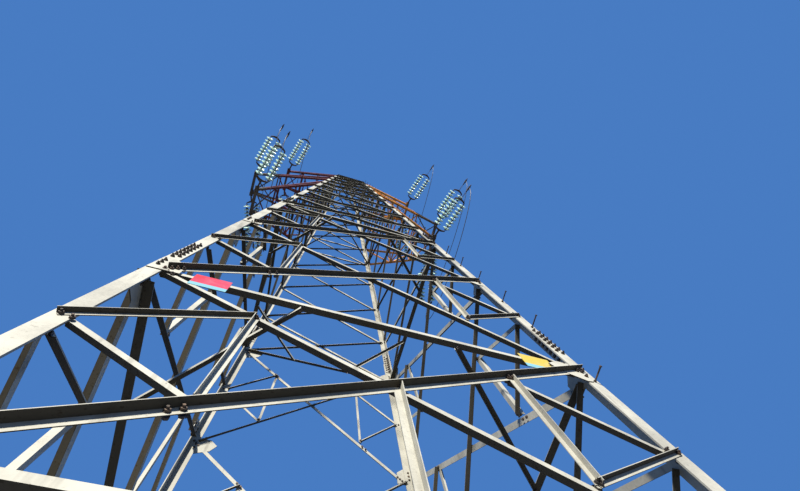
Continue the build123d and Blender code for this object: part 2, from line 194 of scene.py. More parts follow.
class Surface(Graph):
    """A material under construction, patterned on the piece's own coordinates."""

    fine_octaves: float = 0.55

    def __init__(self, name: str) -> None:
        """Starts a material that has only its shader.

        Args:
            name: The material's name.
        """
        self.material = bpy.data.materials.new(name)
        self.material.use_nodes = True
        super().__init__(self.material.node_tree)
        self.tree.nodes.clear()
        self.shader = self.node("ShaderNodeBsdfPrincipled", {}, {})
        self.node("ShaderNodeOutputMaterial", {}, {0: self.shader.outputs[0]})
        coordinates = self.node("ShaderNodeTexCoord", {}, {})
        self.place = coordinates.outputs["Object"]
        self.wrap = coordinates.outputs["UV"]
        self.x, self.y, self.z = self.split(self.place)

    def split(self, vector: bpy.types.NodeSocket) -> tuple[Signal, Signal, Signal]:
        """Parts of a vector along X, Y and Z."""
        x, y, z = self.node("ShaderNodeSeparateXYZ", {}, {0: vector}).outputs
        return Signal(self, x), Signal(self, y), Signal(self, z)

    def noise(
        self, scale: float, detail: float, stretch: tuple[float, float, float] = (1.0, 1.0, 1.0)
    ) -> Signal:
        """Cloudy pattern.

        Args:
            scale: Features in a metre.
            detail: Octaves.
            stretch: Factor on the scale along each axis.

        Returns:
            The pattern, about 0.3 to 0.7.
        """
        place = self.place
        if stretch != (1.0, 1.0, 1.0):
            place = self.output("ShaderNodeMapping", {}, {0: place, "Scale": stretch})
        sockets = {
            "Vector": place,
            "Scale": scale,
            "Detail": detail,
            "Roughness": self.fine_octaves,
        }
        return Signal(self, self.output("ShaderNodeTexNoise", {}, sockets))

    def cells(self, scale: float) -> Signal:
        """A random shade between 0 and 1 for each cell.

        Args:
            scale: Cells in a metre.

        Returns:
            The shade.
        """
        sockets = {"Vector": self.place, "Scale": scale}
        colour = self.output("ShaderNodeTexVoronoi", {}, sockets, "Color")
        return Signal(self, self.output("ShaderNodeSeparateColor", {}, {0: colour}))

    def facing(self) -> tuple[Signal, Signal, Signal]:
        """The way the surface faces, along X, Y and Z."""
        return self.split(self.output("ShaderNodeNewGeometry", {}, {}, "Normal"))

    def mix(
        self,
        share: Signal,
        under: Colour | bpy.types.NodeSocket,
        over: Colour | bpy.types.NodeSocket,
    ) -> bpy.types.NodeSocket:
        """Mixes two colours.

        Args:
            share: How much of the second one shows.
            under: The first colour.
            over: The second colour.

        Returns:
            The mixed colour's socket.
        """
        sockets: dict[int | str, object] = {0: share}
        for key, value in ((6, under), (7, over)):
            sockets[key] = (*value, 1.0) if isinstance(value, tuple) else value
        settings = {"data_type": "RGBA", "clamp_factor": True}
        return self.output("ShaderNodeMix", settings, sockets, 2)

    def relief(self, height: Signal, depth: float, strength: float) -> bpy.types.NodeSocket:
        """Bump from a pattern, with so many metres between its 0 and 1, at a share of its effect."""
        sockets = {"Height": height, "Distance": depth, "Strength": strength}
        return self.output("ShaderNodeBump", {}, sockets)

    def done(self, **sockets: object) -> bpy.types.Material:
        """Connects the shader.

        Args:
            **sockets: Shader inputs, with _ for a space in their names.

        Returns:
            The finished material.
        """
        for name, value in sockets.items():
            self.feed(self.shader.inputs[name.replace("_", " ")], value)
        return self.material


class Recipe(Graph):
    """A Geometry Nodes tree under construction."""

    def __init__(self, name: str) -> None:
        """Starts a tree that takes and gives one geometry.

        Args:
            name: The tree's name.
        """
        super().__init__(bpy.data.node_groups.new(name, "GeometryNodeTree"))
        for way in ("INPUT", "OUTPUT"):
            self.tree.interface.new_socket("Geometry", in_out=way, socket_type="NodeSocketGeometry")
        self.keys: dict[str, str] = {}

    def ask(self, name: str, kind: str, value: float | int | None = None) -> None:
        """Adds a named input; all are added before the tree's first node.

        Args:
            name: What it is called.
            kind: Float, Int, Material or Object.
            value: Its default.
        """
        item = self.tree.interface.new_socket(name, in_out="INPUT", socket_type="NodeSocket" + kind)
        if value is not None:
            item.default_value = value
        self.keys[name] = item.identifier

    def join(self, *parts: bpy.types.NodeSocket) -> bpy.types.NodeSocket:
        """Joins geometries in order.

        Args:
            *parts: The geometries.

        Returns:
            The joined geometry.
        """
        node = self.node("GeometryNodeJoinGeometry", {}, {})
        for part in parts:
            self.feed(node.inputs[0], part)
        return node.outputs[0]

    def close(self, geometry: bpy.types.NodeSocket, material: object) -> None:
        """Ends the tree with real meshes in one finish.

        Args:
            geometry: What was built.
            material: The input that holds the finish.
        """
        real = self.output("GeometryNodeRealizeInstances", {}, {0: geometry})
        dressed = self.output(
            "GeometryNodeSetMaterial", {}, {"Geometry": real, "Material": material}
        )
        self.node("NodeGroupOutput", {}, {0: dressed})

    def grow(
        self, name: str, seed_mesh: bpy.types.Mesh, values: Mapping[str, object]
    ) -> bpy.types.Object:
        """Runs the tree on a mesh and keeps the result as a plain mesh.

        Args:
            name: The piece's name.
            seed_mesh: The points or edges that it starts from.
            values: What goes into the named inputs.

        Returns:
            The piece, not yet riding on a body.
        """
        carrier = stood(name + "_seed", seed_mesh)
        modifier = carrier.modifiers.new("growth", "NODES")
        modifier.node_group = self.tree
        for key, value in values.items():
            modifier[self.keys[key]] = value
        mesh = evaluated(carrier)
        carrier.modifiers.remove(modifier)
        bpy.data.objects.remove(carrier)
        mesh.name = name
        return stood(name, mesh)


# Finishes


@dataclass(frozen=True)
class WeatheredZinc:
    """Old hot-dip galvanising: cloudy, streaked by rain, specked with grime, and darkened with
    painted shade on faces that look down or towards +Y.
    """

    name: str = "weathered_zinc"
    bright: Colour = (0.47, 0.455, 0.38)
    dull: Colour = (0.31, 0.295, 0.24)
    # The grime colour serves the rain streaks and specks, and also the painted shade on faces that
    # look down or towards +Y.
    grime: Colour = (0.036, 0.028, 0.015)
    rust: Colour = (0.09, 0.045, 0.018)
    # Weights of the painted shade: on faces that look down, and on faces that look towards +Y.
    underside_painted_shade: float = 0.92
    back_face_painted_shade: float = 0.45

    def make(self) -> bpy.types.Material:
        """Builds the material.

        Returns:
            The material.
        """
        skin = Surface(self.name)
        clouds = skin.noise(1.6, 4.0)
        spangle = skin.cells(70.0)
        runs = skin.noise(9.0, 3.0, (1.0, 1.0, 0.08))
        specks = skin.noise(38.0, 4.0)
        zinc = skin.mix(clouds.between(0.36, 0.66) * 0.75 + spangle * 0.2, self.dull, self.bright)
        streaked = skin.mix(runs.between(0.56, 0.72) * 0.35, zinc, self.grime)
        # Painted shade: faces that look down, and faces that look towards +Y, are mixed towards the
        # grime colour; real grime specks are added on top.
        _, along, up = skin.facing()
        below = up.between(0.1, -0.6) * self.underside_painted_shade
        painted_shade = below + along.between(-0.1, 0.8) * self.back_face_painted_shade
        grimy_and_shaded = skin.mix(painted_shade + specks.between(0.6, 0.75) * 0.3, streaked, self.grime)
        rusty = specks.between(0.66, 0.76) * runs.between(0.5, 0.62) * 0.7
        roughness = clouds.between(0.3, 0.7) * 0.16 + spangle * 0.08 + painted_shade * 0.25 + 0.48
        height = specks * 0.6 + spangle * 0.15 + clouds * 0.25
        return skin.done(
            Base_Color=skin.mix(rusty, grimy_and_shaded, self.rust),
            Roughness=roughness,
            Metallic=0.1,
            Specular_IOR_Level=0.3,
            Normal=skin.relief(height, 0.0012, 0.6),
        )


@dataclass(frozen=True)
class OldPaint:
    """Faded paint on the arms, flaking to zinc, and left off towards the tips."""

    name: str
    paint: Colour
    faded: Colour
    bare: Colour = (0.055, 0.042, 0.03)
    rusty: Colour = (0.12, 0.09, 0.06)
    zinc: Colour = (0.24, 0.22, 0.18)
    painted_to: float = 3.3
    gone_by: float = 3.4

    def make(self) -> bpy.types.Material:
        """Builds the material.

        Returns:
            The material.
        """
        skin = Surface(self.name)
        clouds = skin.noise(3.0, 4.0)
        flakes = skin.noise(22.0, 5.0)
        runs = skin.noise(11.0, 3.0, (1.0, 1.0, 0.1))
        coat = skin.mix(clouds.between(0.38, 0.66), self.paint, self.faded)
        worn = skin.mix(flakes.between(0.62, 0.7) * 0.6, coat, self.zinc)
        dirty = skin.mix(runs.between(0.55, 0.7) * 0.45, worn, self.bare)
        past = (abs(skin.x) + clouds * 0.5).between(self.painted_to, self.gone_by)
        tip = skin.mix(clouds.between(0.35, 0.7), self.bare, self.rusty)
        return skin.done(
            Base_Color=skin.mix(past, dirty, tip),
            Roughness=flakes.between(0.3, 0.7) * 0.25 + 0.45,
            Metallic=0.0,
            Normal=skin.relief(flakes + runs * 0.4, 0.001, 0.7),
        )


@dataclass(frozen=True)
class DarkIron:
    """Forged and cast fittings, bolts and nuts gone brown-black."""

    name: str = "dark_iron"
    dark: Colour = (0.035, 0.03, 0.026)
    brown: Colour = (0.13, 0.085, 0.055)

    def make(self) -> bpy.types.Material:
        """Builds the material.

        Returns:
            The material.
        """
        skin = Surface(self.name)
        clouds = skin.noise(14.0, 4.0)
        grain = skin.noise(160.0, 3.0)
        return skin.done(
            Base_Color=skin.mix(
                clouds.between(0.4, 0.68) * 0.8 + grain * 0.2, self.dark, self.brown
            ),
            Roughness=grain * 0.3 + 0.42,
            Metallic=0.3,
            Normal=skin.relief(grain + clouds, 0.0006, 0.7),
        )


@dataclass(frozen=True)
class MintGlass:
    """Toughened glass of the discs: pale green, glossy, a film of dust in places."""

    name: str = "mint_glass"
    clear: Colour = (0.44, 0.66, 0.54)
    milky: Colour = (0.60, 0.74, 0.64)
    dust: Colour = (0.44, 0.48, 0.40)

    def make(self) -> bpy.types.Material:
        """Builds the material.

        Returns:
            The material.
        """
        skin = Surface(self.name)
        clouds = skin.noise(9.0, 3.0)
        film = skin.noise(55.0, 4.0)
        glass = skin.mix(clouds.between(0.36, 0.66), self.clear, self.milky)
        dusty = film.between(0.54, 0.72) * 0.4
        return skin.done(
            Base_Color=skin.mix(dusty, glass, self.dust),
            Roughness=dusty * 0.7 + 0.08,
            Metallic=0.0,
            Subsurface_Weight=0.6,
            Subsurface_Radius=(1.0, 1.0, 1.0),
            Subsurface_Scale=0.05,
            Coat_Weight=0.4,
            Coat_Roughness=0.06,
            Normal=skin.relief(film, 0.0004, 0.4),
        )


@dataclass(frozen=True)
class Concrete:
    """Rough cast concrete, pitted and stained towards the ground."""

    name: str = "cast_concrete"
    light: Colour = (0.33, 0.31, 0.275)
    dark: Colour = (0.19, 0.18, 0.155)
    stain: Colour = (0.085, 0.075, 0.055)
    clean_above: float = 0.34
    dirty_below: float = 0.05

    def make(self) -> bpy.types.Material:
        """Builds the material.

        Returns:
            The material.
        """
        skin = Surface(self.name)
        clouds = skin.noise(5.0, 5.0)
        grain = skin.noise(90.0, 5.0)
        pits = skin.noise(30.0, 2.0).between(0.66, 0.72)
        body = skin.mix(clouds.between(0.35, 0.68), self.dark, self.light)
        low = (skin.z + clouds * 0.25).between(self.clean_above, self.dirty_below) * 0.6
        return skin.done(
            Base_Color=skin.mix(low + pits * 0.5, body, self.stain),
            Roughness=grain * 0.2 + 0.78,
            Normal=skin.relief(grain * 0.5 - pits * 0.8 + clouds * 0.4, 0.006, 0.8),
        )


@dataclass(frozen=True)
class Enamel:
    """Bare circuit plate: one colour above, a paler strip below, scuffed."""

    name: str
    field: Colour
    strip: Colour = (0.21, 0.44, 0.48)
    split: float = 6.18
    blur: float = 0.001
    grime: Colour = (0.16, 0.13, 0.1)

    def make(self) -> bpy.types.Material:
        """Builds the material.

        Returns:
            The material.
        """
        skin = Surface(self.name)
        clouds = skin.noise(8.0, 4.0)
        scuffs = skin.noise(60.0, 4.0)
        faded = tuple(min(1.0, c * 0.75 + 0.12) for c in self.field)
        upper = skin.mix(clouds.between(0.42, 0.72) * 0.6, self.field, faded)
        low = skin.z.between(self.split + self.blur, self.split - self.blur)
        worn = scuffs.between(0.6, 0.72) * 0.55
        return skin.done(
            Base_Color=skin.mix(worn, skin.mix(low, upper, self.strip), self.grime),
            Roughness=worn * 0.5 + 0.3,
            Coat_Weight=0.25,
            Normal=skin.relief(scuffs, 0.0006, 0.5),
        )


@dataclass(frozen=True)
class StrandedWire:
    """Aluminium wires laid in a helix, dulled by weather, with painted shade darkening the grooves
    between the wires.
    """

    name: str = "stranded_wire"
    metal: Colour = (0.20, 0.20, 0.195)
    # Painted shade colour for the grooves between the strands.
    groove_painted_shade: Colour = (0.045, 0.045, 0.045)
    strands: float = 12.0
    turns: float = 7.0

    def make(self) -> bpy.types.Material:
        """Builds the material.

        Returns:
            The material.
        """
        skin = Surface(self.name)
        along, around, _ = skin.split(skin.wrap)
        lay = (along * self.turns + around * self.strands) * math.tau
        ridge = abs((lay * 0.5).wave())
        return skin.done(
            # Painted shade: the grooves between the strands are darkened towards a near-black colour.
            Base_Color=skin.mix(ridge.between(0.15, 0.7), self.groove_painted_shade, self.metal),
            Roughness=skin.noise(20.0, 3.0) * 0.3 + 0.35,
            Metallic=0.6,
            Normal=skin.relief(ridge, 0.002, 0.8),
        )


@dataclass(frozen=True)
class PaleFloor:
    """Plain pale studio floor."""

    name: str = "pale_floor"
    tone: Colour = (0.38, 0.375, 0.365)
    shade: float = 0.97

    def make(self) -> bpy.types.Material:
        """Builds the material.

        Returns:
            The material.
        """
        skin = Surface(self.name)
        soft = tuple(c * self.shade for c in self.tone)
        return skin.done(Base_Color=skin.mix(skin.noise(0.3, 2.0), self.tone, soft), Roughness=0.85)


# Mesh work


def stood(name: str, data: bpy.types.ID) -> bpy.types.Object:
    """Puts an object with its data into the scene.

    Args:
        name: The object's name.
        data: Its mesh, curve, light or camera.

    Returns:
        The object.
    """
    thing = bpy.data.objects.new(name, data)
    bpy.context.scene.collection.objects.link(thing)
    return thing


def evaluated(carrier: bpy.types.Object) -> bpy.types.Mesh:
    """Plain mesh of what an object's curve or modifiers give."""
    graph = bpy.context.evaluated_depsgraph_get()
    return bpy.data.meshes.new_from_object(carrier.evaluated_get(graph), depsgraph=graph)


def aimed(place: Vector, ahead: Vector, side: Vector | None = None) -> Matrix:
    """Frame at a place with its Z axis pointing ahead.

    Args:
        place: The frame's origin.
        ahead: The way Z points.
        side: About the way X points.

    Returns:
        The frame.
    """
    z = ahead.normalized()
    x = side if side is not None else z.orthogonal()
    x = (x - z * x.dot(z)).normalized()
    y = z.cross(x)
    return Matrix.Translation(place) @ Matrix((x, y, z)).transposed().to_4x4()


def moved(place: Matrix, shift: Sequence[float], turn: float = 0.0, axis: str = "Z") -> Matrix:
    """Frame shifted along its own axes, then turned by radians about one of them."""
    return place @ Matrix.Translation(shift) @ Matrix.Rotation(turn, 4, axis)


class Shape:
    """A mesh under construction out of turned, bent, cut and lofted parts."""

    weld: float = 1e-5
    steepest: float = 0.95

    def __init__(self) -> None:
        """Starts an empty mesh."""
        self.mesh = bmesh.new()

    def rings(self, rings: Sequence[Sequence[Vector]]) -> Shape:
        """Skins rings of equally many points and closes both ends.

        Args:
            rings: The rings in order.

        Returns:
            The shape itself.
        """
        rows = [[self.mesh.verts.new(point) for point in ring] for ring in rings]
        count = len(rows[0])
        for low, high in zip(rows, rows[1:]):
            for i in range(count):
                j = (i + 1) % count
                self.mesh.faces.new((low[i], low[j], high[j], high[i]))
        self.mesh.faces.new(list(reversed(rows[0])))
        self.mesh.faces.new(rows[-1])
        return self

    def turned(self, outline: Iterable[Point], place: Matrix, sides: int) -> Shape:
        """Turns an outline about the place's Z axis.

        Args:
            outline: Points (along the axis, radius).
            place: Where the axis starts and which way it runs.
            sides: Facets around.

        Returns:
            The shape itself.
        """
        angles = [math.tau * i / sides for i in range(sides)]
        return self.rings(
            [
                [place @ Vector((r * math.cos(a), r * math.sin(a), z)) for a in angles]
                for z, r in outline
            ]
        )

    def cut(self, outline: Sequence[Point], place: Matrix, low: float, high: float) -> Shape:
        """Plate cut to an outline in the place's XY plane, between two heights."""
        return self.rings([[place @ Vector((x, y, z)) for x, y in outline] for z in (low, high)])

    def rod(self, route: Sequence[Vector], radius: float, sides: int = 8) -> Shape:
        """Round bar along a route.

        Args:
            route: Points on its centre line.
            radius: Its radius.
            sides: Facets around.

        Returns:
            The shape itself.
        """
        rings = []
        side = Vector((0.0, 0.0, 1.0))
        for i, point in enumerate(route):
            ahead = route[min(i + 1, len(route) - 1)] - route[max(i - 1, 0)]
            ahead.normalize()
            if abs(side.dot(ahead)) > self.steepest:
                side = ahead.orthogonal()
            side = (side - ahead * side.dot(ahead)).normalized()
            other = ahead.cross(side)
            rings.append(
                [
                    point + (side * math.cos(a) + other * math.sin(a)) * radius
                    for a in (math.tau * k / sides for k in range(sides))
                ]
            )
        return self.rings(rings)

    def finish(
        self,
        name: str,
        material: bpy.types.Material,
        smooth: float | None = 35.0,
        edge: float = 0.0,
        bevel_from: float = 0.6,
    ) -> bpy.types.Object:
        """Turns the mesh into a piece.

        Args:
            name: The piece's name.
            material: Its finish.
            smooth: Edges sharper than this many degrees stay sharp, or None for flat facets.
            edge: Width of the bevel on its edges.
            bevel_from: Edges that turn by more than this angle are bevelled.

        Returns:
            The piece, not yet riding on a body.
        """
        bmesh.ops.remove_doubles(self.mesh, verts=self.mesh.verts, dist=self.weld)
        bmesh.ops.recalc_face_normals(self.mesh, faces=self.mesh.faces)
        if edge:
            sharp = [e for e in self.mesh.edges if e.calc_face_angle(0.0) > bevel_from]
            bmesh.ops.bevel(self.mesh, geom=sharp, offset=edge, segments=1, affect="EDGES")
        data = bpy.data.meshes.new(name)
        self.mesh.to_mesh(data)
        self.mesh.free()
        if smooth is not None:
            data.shade_smooth()
            data.set_sharp_from_angle(angle=math.radians(smooth))
        data.materials.append(material)
        return stood(name, data)


class Crew:
    """Hands finished pieces to the frame and reports them."""

    def __init__(self) -> None:
        """Starts with no pieces."""
        self.count = 0

    def hang(self, piece: bpy.types.Object, replaced: Iterable[str] = ()) -> None:
        """Makes a piece ride on the pylon.

        Args:
            piece: The finished piece.
            replaced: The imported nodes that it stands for.
        """
        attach(piece, BODY)
        names = list(replaced)
        if names:
            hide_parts(*names)
        self.count += 1
        log.info("%s: %d faces", piece.name, len(piece.data.polygons))


# The pylon


class Face(Enum):
    """The four faces of the body, by their turn from the front in degrees."""

    FRONT = 0
    RIGHT = 90
    BACK = 180
    LEFT = 270


class Hand(Enum):
    """Left and right of the centre line, seen from the front."""

    LEFT = -1
    RIGHT = 1


class Span(Enum):
    """The two spans that leave the pylon."""

    FRONT = -1
    BACK = 1


@dataclass(frozen=True)
class Pyramid:
    """The body's outer faces: one square pyramid cut off at the top."""

    strut_level: float = 6.3
    strut_half_width: float = 2.15
    taper: float = 0.0615

    def half_width(self, level: float) -> float:
        """Half the outer width at a level."""
        return self.strut_half_width - self.taper * (level - self.strut_level)

    def frame(self, face: Face) -> Matrix:
        """Frame of a face: X across, Y up the slope, Z outward.

        Args:
            face: Which face.

        Returns:
            The frame.
        """
        slope = math.hypot(1.0, self.taper)
        axes = (
            Vector((1.0, 0.0, 0.0)),
            Vector((0.0, self.taper, 1.0)) / slope,
            Vector((0.0, -1.0, self.taper)) / slope,
        )
        tilt = Matrix(axes).transposed().to_4x4()
        turn = Matrix.Rotation(math.radians(face.value), 4, "Z")
        return turn @ Matrix.Translation((0.0, -self.half_width(0.0), 0.0)) @ tilt

    def spot(self, face: Face, across: float, level: float, out: float = 0.0) -> Vector:
        """Point a distance across from a face's middle line, at a level, and so far outward."""
        up = level * math.hypot(1.0, self.taper)
        return self.frame(face) @ Vector((across, up, out))

    def outward(self, face: Face) -> Vector:
        """The way a face looks."""
        return self.frame(face).to_3x3() @ Vector((0.0, 0.0, 1.0))


@dataclass(frozen=True)
class Levels:
    """Heights above ground where the bracing changes, and the arms' heights and reaches."""

    foot: float = 0.95
    lower: float = 3.5
    strut: float = 6.3
    mid: float = 9.6
    splice: float = 12.75
    leg_change: float = 13.5
    short: float = 14.6
    upper: tuple[float, float] = (16.65, 18.65)
    arms: tuple[float, float, float] = (20.6, 24.1, 27.7)
    arm_heights: tuple[float, float, float] = (1.75, 1.8, 1.05)
    arm_reaches: tuple[float, float, float] = (3.4, 4.06, 3.1)
    body_top: float = 28.9
    peak_top: float = 31.2


PYRAMID = Pyramid()
LEVELS = Levels()
LEG = 0.014
BAR = 0.006


@dataclass(frozen=True)
class BoltSize:
    """Sizes of one kind of hexagon bolt."""

    across_flats: float
    head_height: float
    washer: float
    stub: float = 0.014


BODY_BOLT = BoltSize(0.032, 0.016, 0.021)
SPLICE_BOLT = BoltSize(0.034, 0.018, 0.023, 0.018)
ARM_BOLT = BoltSize(0.028, 0.013, 0.018)


@dataclass
class Bolts:
    """Hexagon bolts of one size through the bars, nuts outside and heads inside."""

    name: str
    size: BoltSize = BODY_BOLT
    washer_depth: float = 0.004
    washer_sides: int = 10
    flats: int = 6
    seed: int = 7
    spots: list[tuple[Vector, Vector, float]] = field(default_factory=list)

    def add(self, place: Vector, facing: Vector, grip: float) -> None:
        """Puts in a bolt: where its nut sits, the way the nut looks, and what it clamps."""
        self.spots.append((place, facing, grip))

    def prism(
        self, recipe: Recipe, radius: Signal, depth: Signal | float, sides: int
    ) -> bpy.types.NodeSocket:
        """Upright prism that stands on its point.

        Args:
            recipe: The tree.
            radius: Its radius.
            depth: Its height.
            sides: Facets around.

        Returns:
            Its geometry.
        """
        made = recipe.output(
            "GeometryNodeMeshCylinder",
            {"fill_type": "NGON"},
            {"Vertices": sides, "Radius": radius, "Depth": depth},
        )
        lift = recipe.output("ShaderNodeCombineXYZ", {}, {2: depth * 0.5})
        return recipe.output("GeometryNodeTransform", {}, {"Geometry": made, "Translation": lift})

    def placed(
        self,
        recipe: Recipe,
        points: bpy.types.NodeSocket,
        way: bpy.types.NodeSocket,
        part: bpy.types.NodeSocket,
        seed: Signal,
    ) -> bpy.types.NodeSocket:
        """Sets a part at every point, with a random turn about its own axis.

        Args:
            recipe: The tree.
            points: Where the parts go.
            way: The way each part's axis points.
            part: Its geometry.
            seed: Seed of the turns.

        Returns:
            The instances.
        """
        settings, limits = {"data_type": "FLOAT"}, {2: 0.0, 3: math.tau, "Seed": seed}
        turn = recipe.output("FunctionNodeRandomValue", settings, limits, 1)
        spin = recipe.output("ShaderNodeCombineXYZ", {}, {2: turn})
        pose = recipe.output(
            "FunctionNodeRotateRotation",
            {"rotation_space": "LOCAL"},
            {
                "Rotation": recipe.output(
                    "FunctionNodeAlignRotationToVector", {"axis": "Z"}, {"Vector": way}
                ),
                "Rotate By": recipe.output("FunctionNodeEulerToRotation", {}, {0: spin}),
            },
        )
        return recipe.output(
            "GeometryNodeInstanceOnPoints",
            {},
            {"Points": points, "Instance": part, "Rotation": pose},
        )

    def recipe(self) -> Recipe:
        """Tree that sets a nut at every point and a head behind it.

        Returns:
            The tree.
        """
        recipe = Recipe(self.name + "_recipe")
        recipe.ask("Corner radius", "Float", self.size.across_flats / math.sqrt(3.0))
        recipe.ask("Head height", "Float", self.size.head_height)
        recipe.ask("Washer radius", "Float", self.size.washer)
        recipe.ask("Stub", "Float", self.size.stub)
        recipe.ask("Seed", "Int", self.seed)
        recipe.ask("Finish", "Material")
        entry = recipe.node("NodeGroupInput", {}, {})
        corner, height, washer, stub, seed, finish = (
            Signal(recipe, entry.outputs[name]) for name in recipe.keys
        )
        head = self.prism(recipe, corner, height, self.flats)
        ring = self.prism(recipe, washer, self.washer_depth, self.washer_sides)
        thread = self.prism(recipe, corner * 0.5, height + stub, self.flats)
        facing, grip = (
            recipe.output("GeometryNodeInputNamedAttribute", {"data_type": kind}, {"Name": name})
            for name, kind in (("facing", "FLOAT_VECTOR"), ("grip", "FLOAT"))
        )
        scaled = "ShaderNodeVectorMath", {"operation": "SCALE"}
        back = recipe.output(*scaled, {0: facing, "Scale": -1.0})
        through = recipe.output(*scaled, {0: back, "Scale": grip})
        points = recipe.output("GeometryNodeMeshToPoints", {}, {"Mesh": entry.outputs[0]})
        behind = recipe.output("GeometryNodeSetPosition", {}, {"Geometry": points, "Offset": through})
        nuts = self.placed(recipe, points, facing, recipe.join(head, ring, thread), seed)
        heads = self.placed(recipe, behind, back, recipe.join(head, ring), seed + 1.0)
        recipe.close(recipe.join(nuts, heads), finish)
        return recipe

    def build(self, crew: Crew, finish: bpy.types.Material) -> None:
        """Makes the piece.

        Args:
            crew: Takes the piece.
            finish: The bolts' finish.
        """
        mesh = bpy.data.meshes.new(self.name + "_points")
        mesh.from_pydata([place for place, _, _ in self.spots], [], [])
        mesh.attributes.new("facing", "FLOAT_VECTOR", "POINT")
        mesh.attributes.new("grip", "FLOAT", "POINT")
        ways = [number for _, way, _ in self.spots for number in way]
        mesh.attributes["facing"].data.foreach_set("vector", ways)
        mesh.attributes["grip"].data.foreach_set("value", [grip for _, _, grip in self.spots])
        piece = self.recipe().grow(self.name, mesh, {"Finish": finish})
        crew.hang(piece)


@dataclass(frozen=True)
class Bar:
    """One bar of a face: ends as (across, level), and which side of the flanges it is on.

    Its knots are the distances across, from the face's middle line, where other bars meet it.
    """

    start: Point
    end: Point
    inside: bool
    bolts: int = 2
    knots: tuple[float, ...] = ()
    edge: float = 0.022
    pitch: float = 0.055

    def middles(self) -> list[Point]:
        """Places of the bolts where other bars meet it, as (across, level).

        Returns:
            The places.
        """
        spots = []
        for across in self.knots:
            share = (across - self.start[0]) / (self.end[0] - self.start[0])
            spots.append((across, self.start[1] + (self.end[1] - self.start[1]) * share))
        return spots

    def rows(self) -> list[Point]:
        """Places of the bolts at both ends, as (across, level).

        Returns:
            The places.
        """
        spots = []
        for near, far in ((self.start, self.end), (self.end, self.start)):
            length = math.dist(near, far)
            way = ((far[0] - near[0]) / length, (far[1] - near[1]) / length)
            for i in range(self.bolts):
                step = self.edge + self.pitch * i
                spots.append((near[0] + way[0] * step, near[1] + way[1] * step))
        return spots


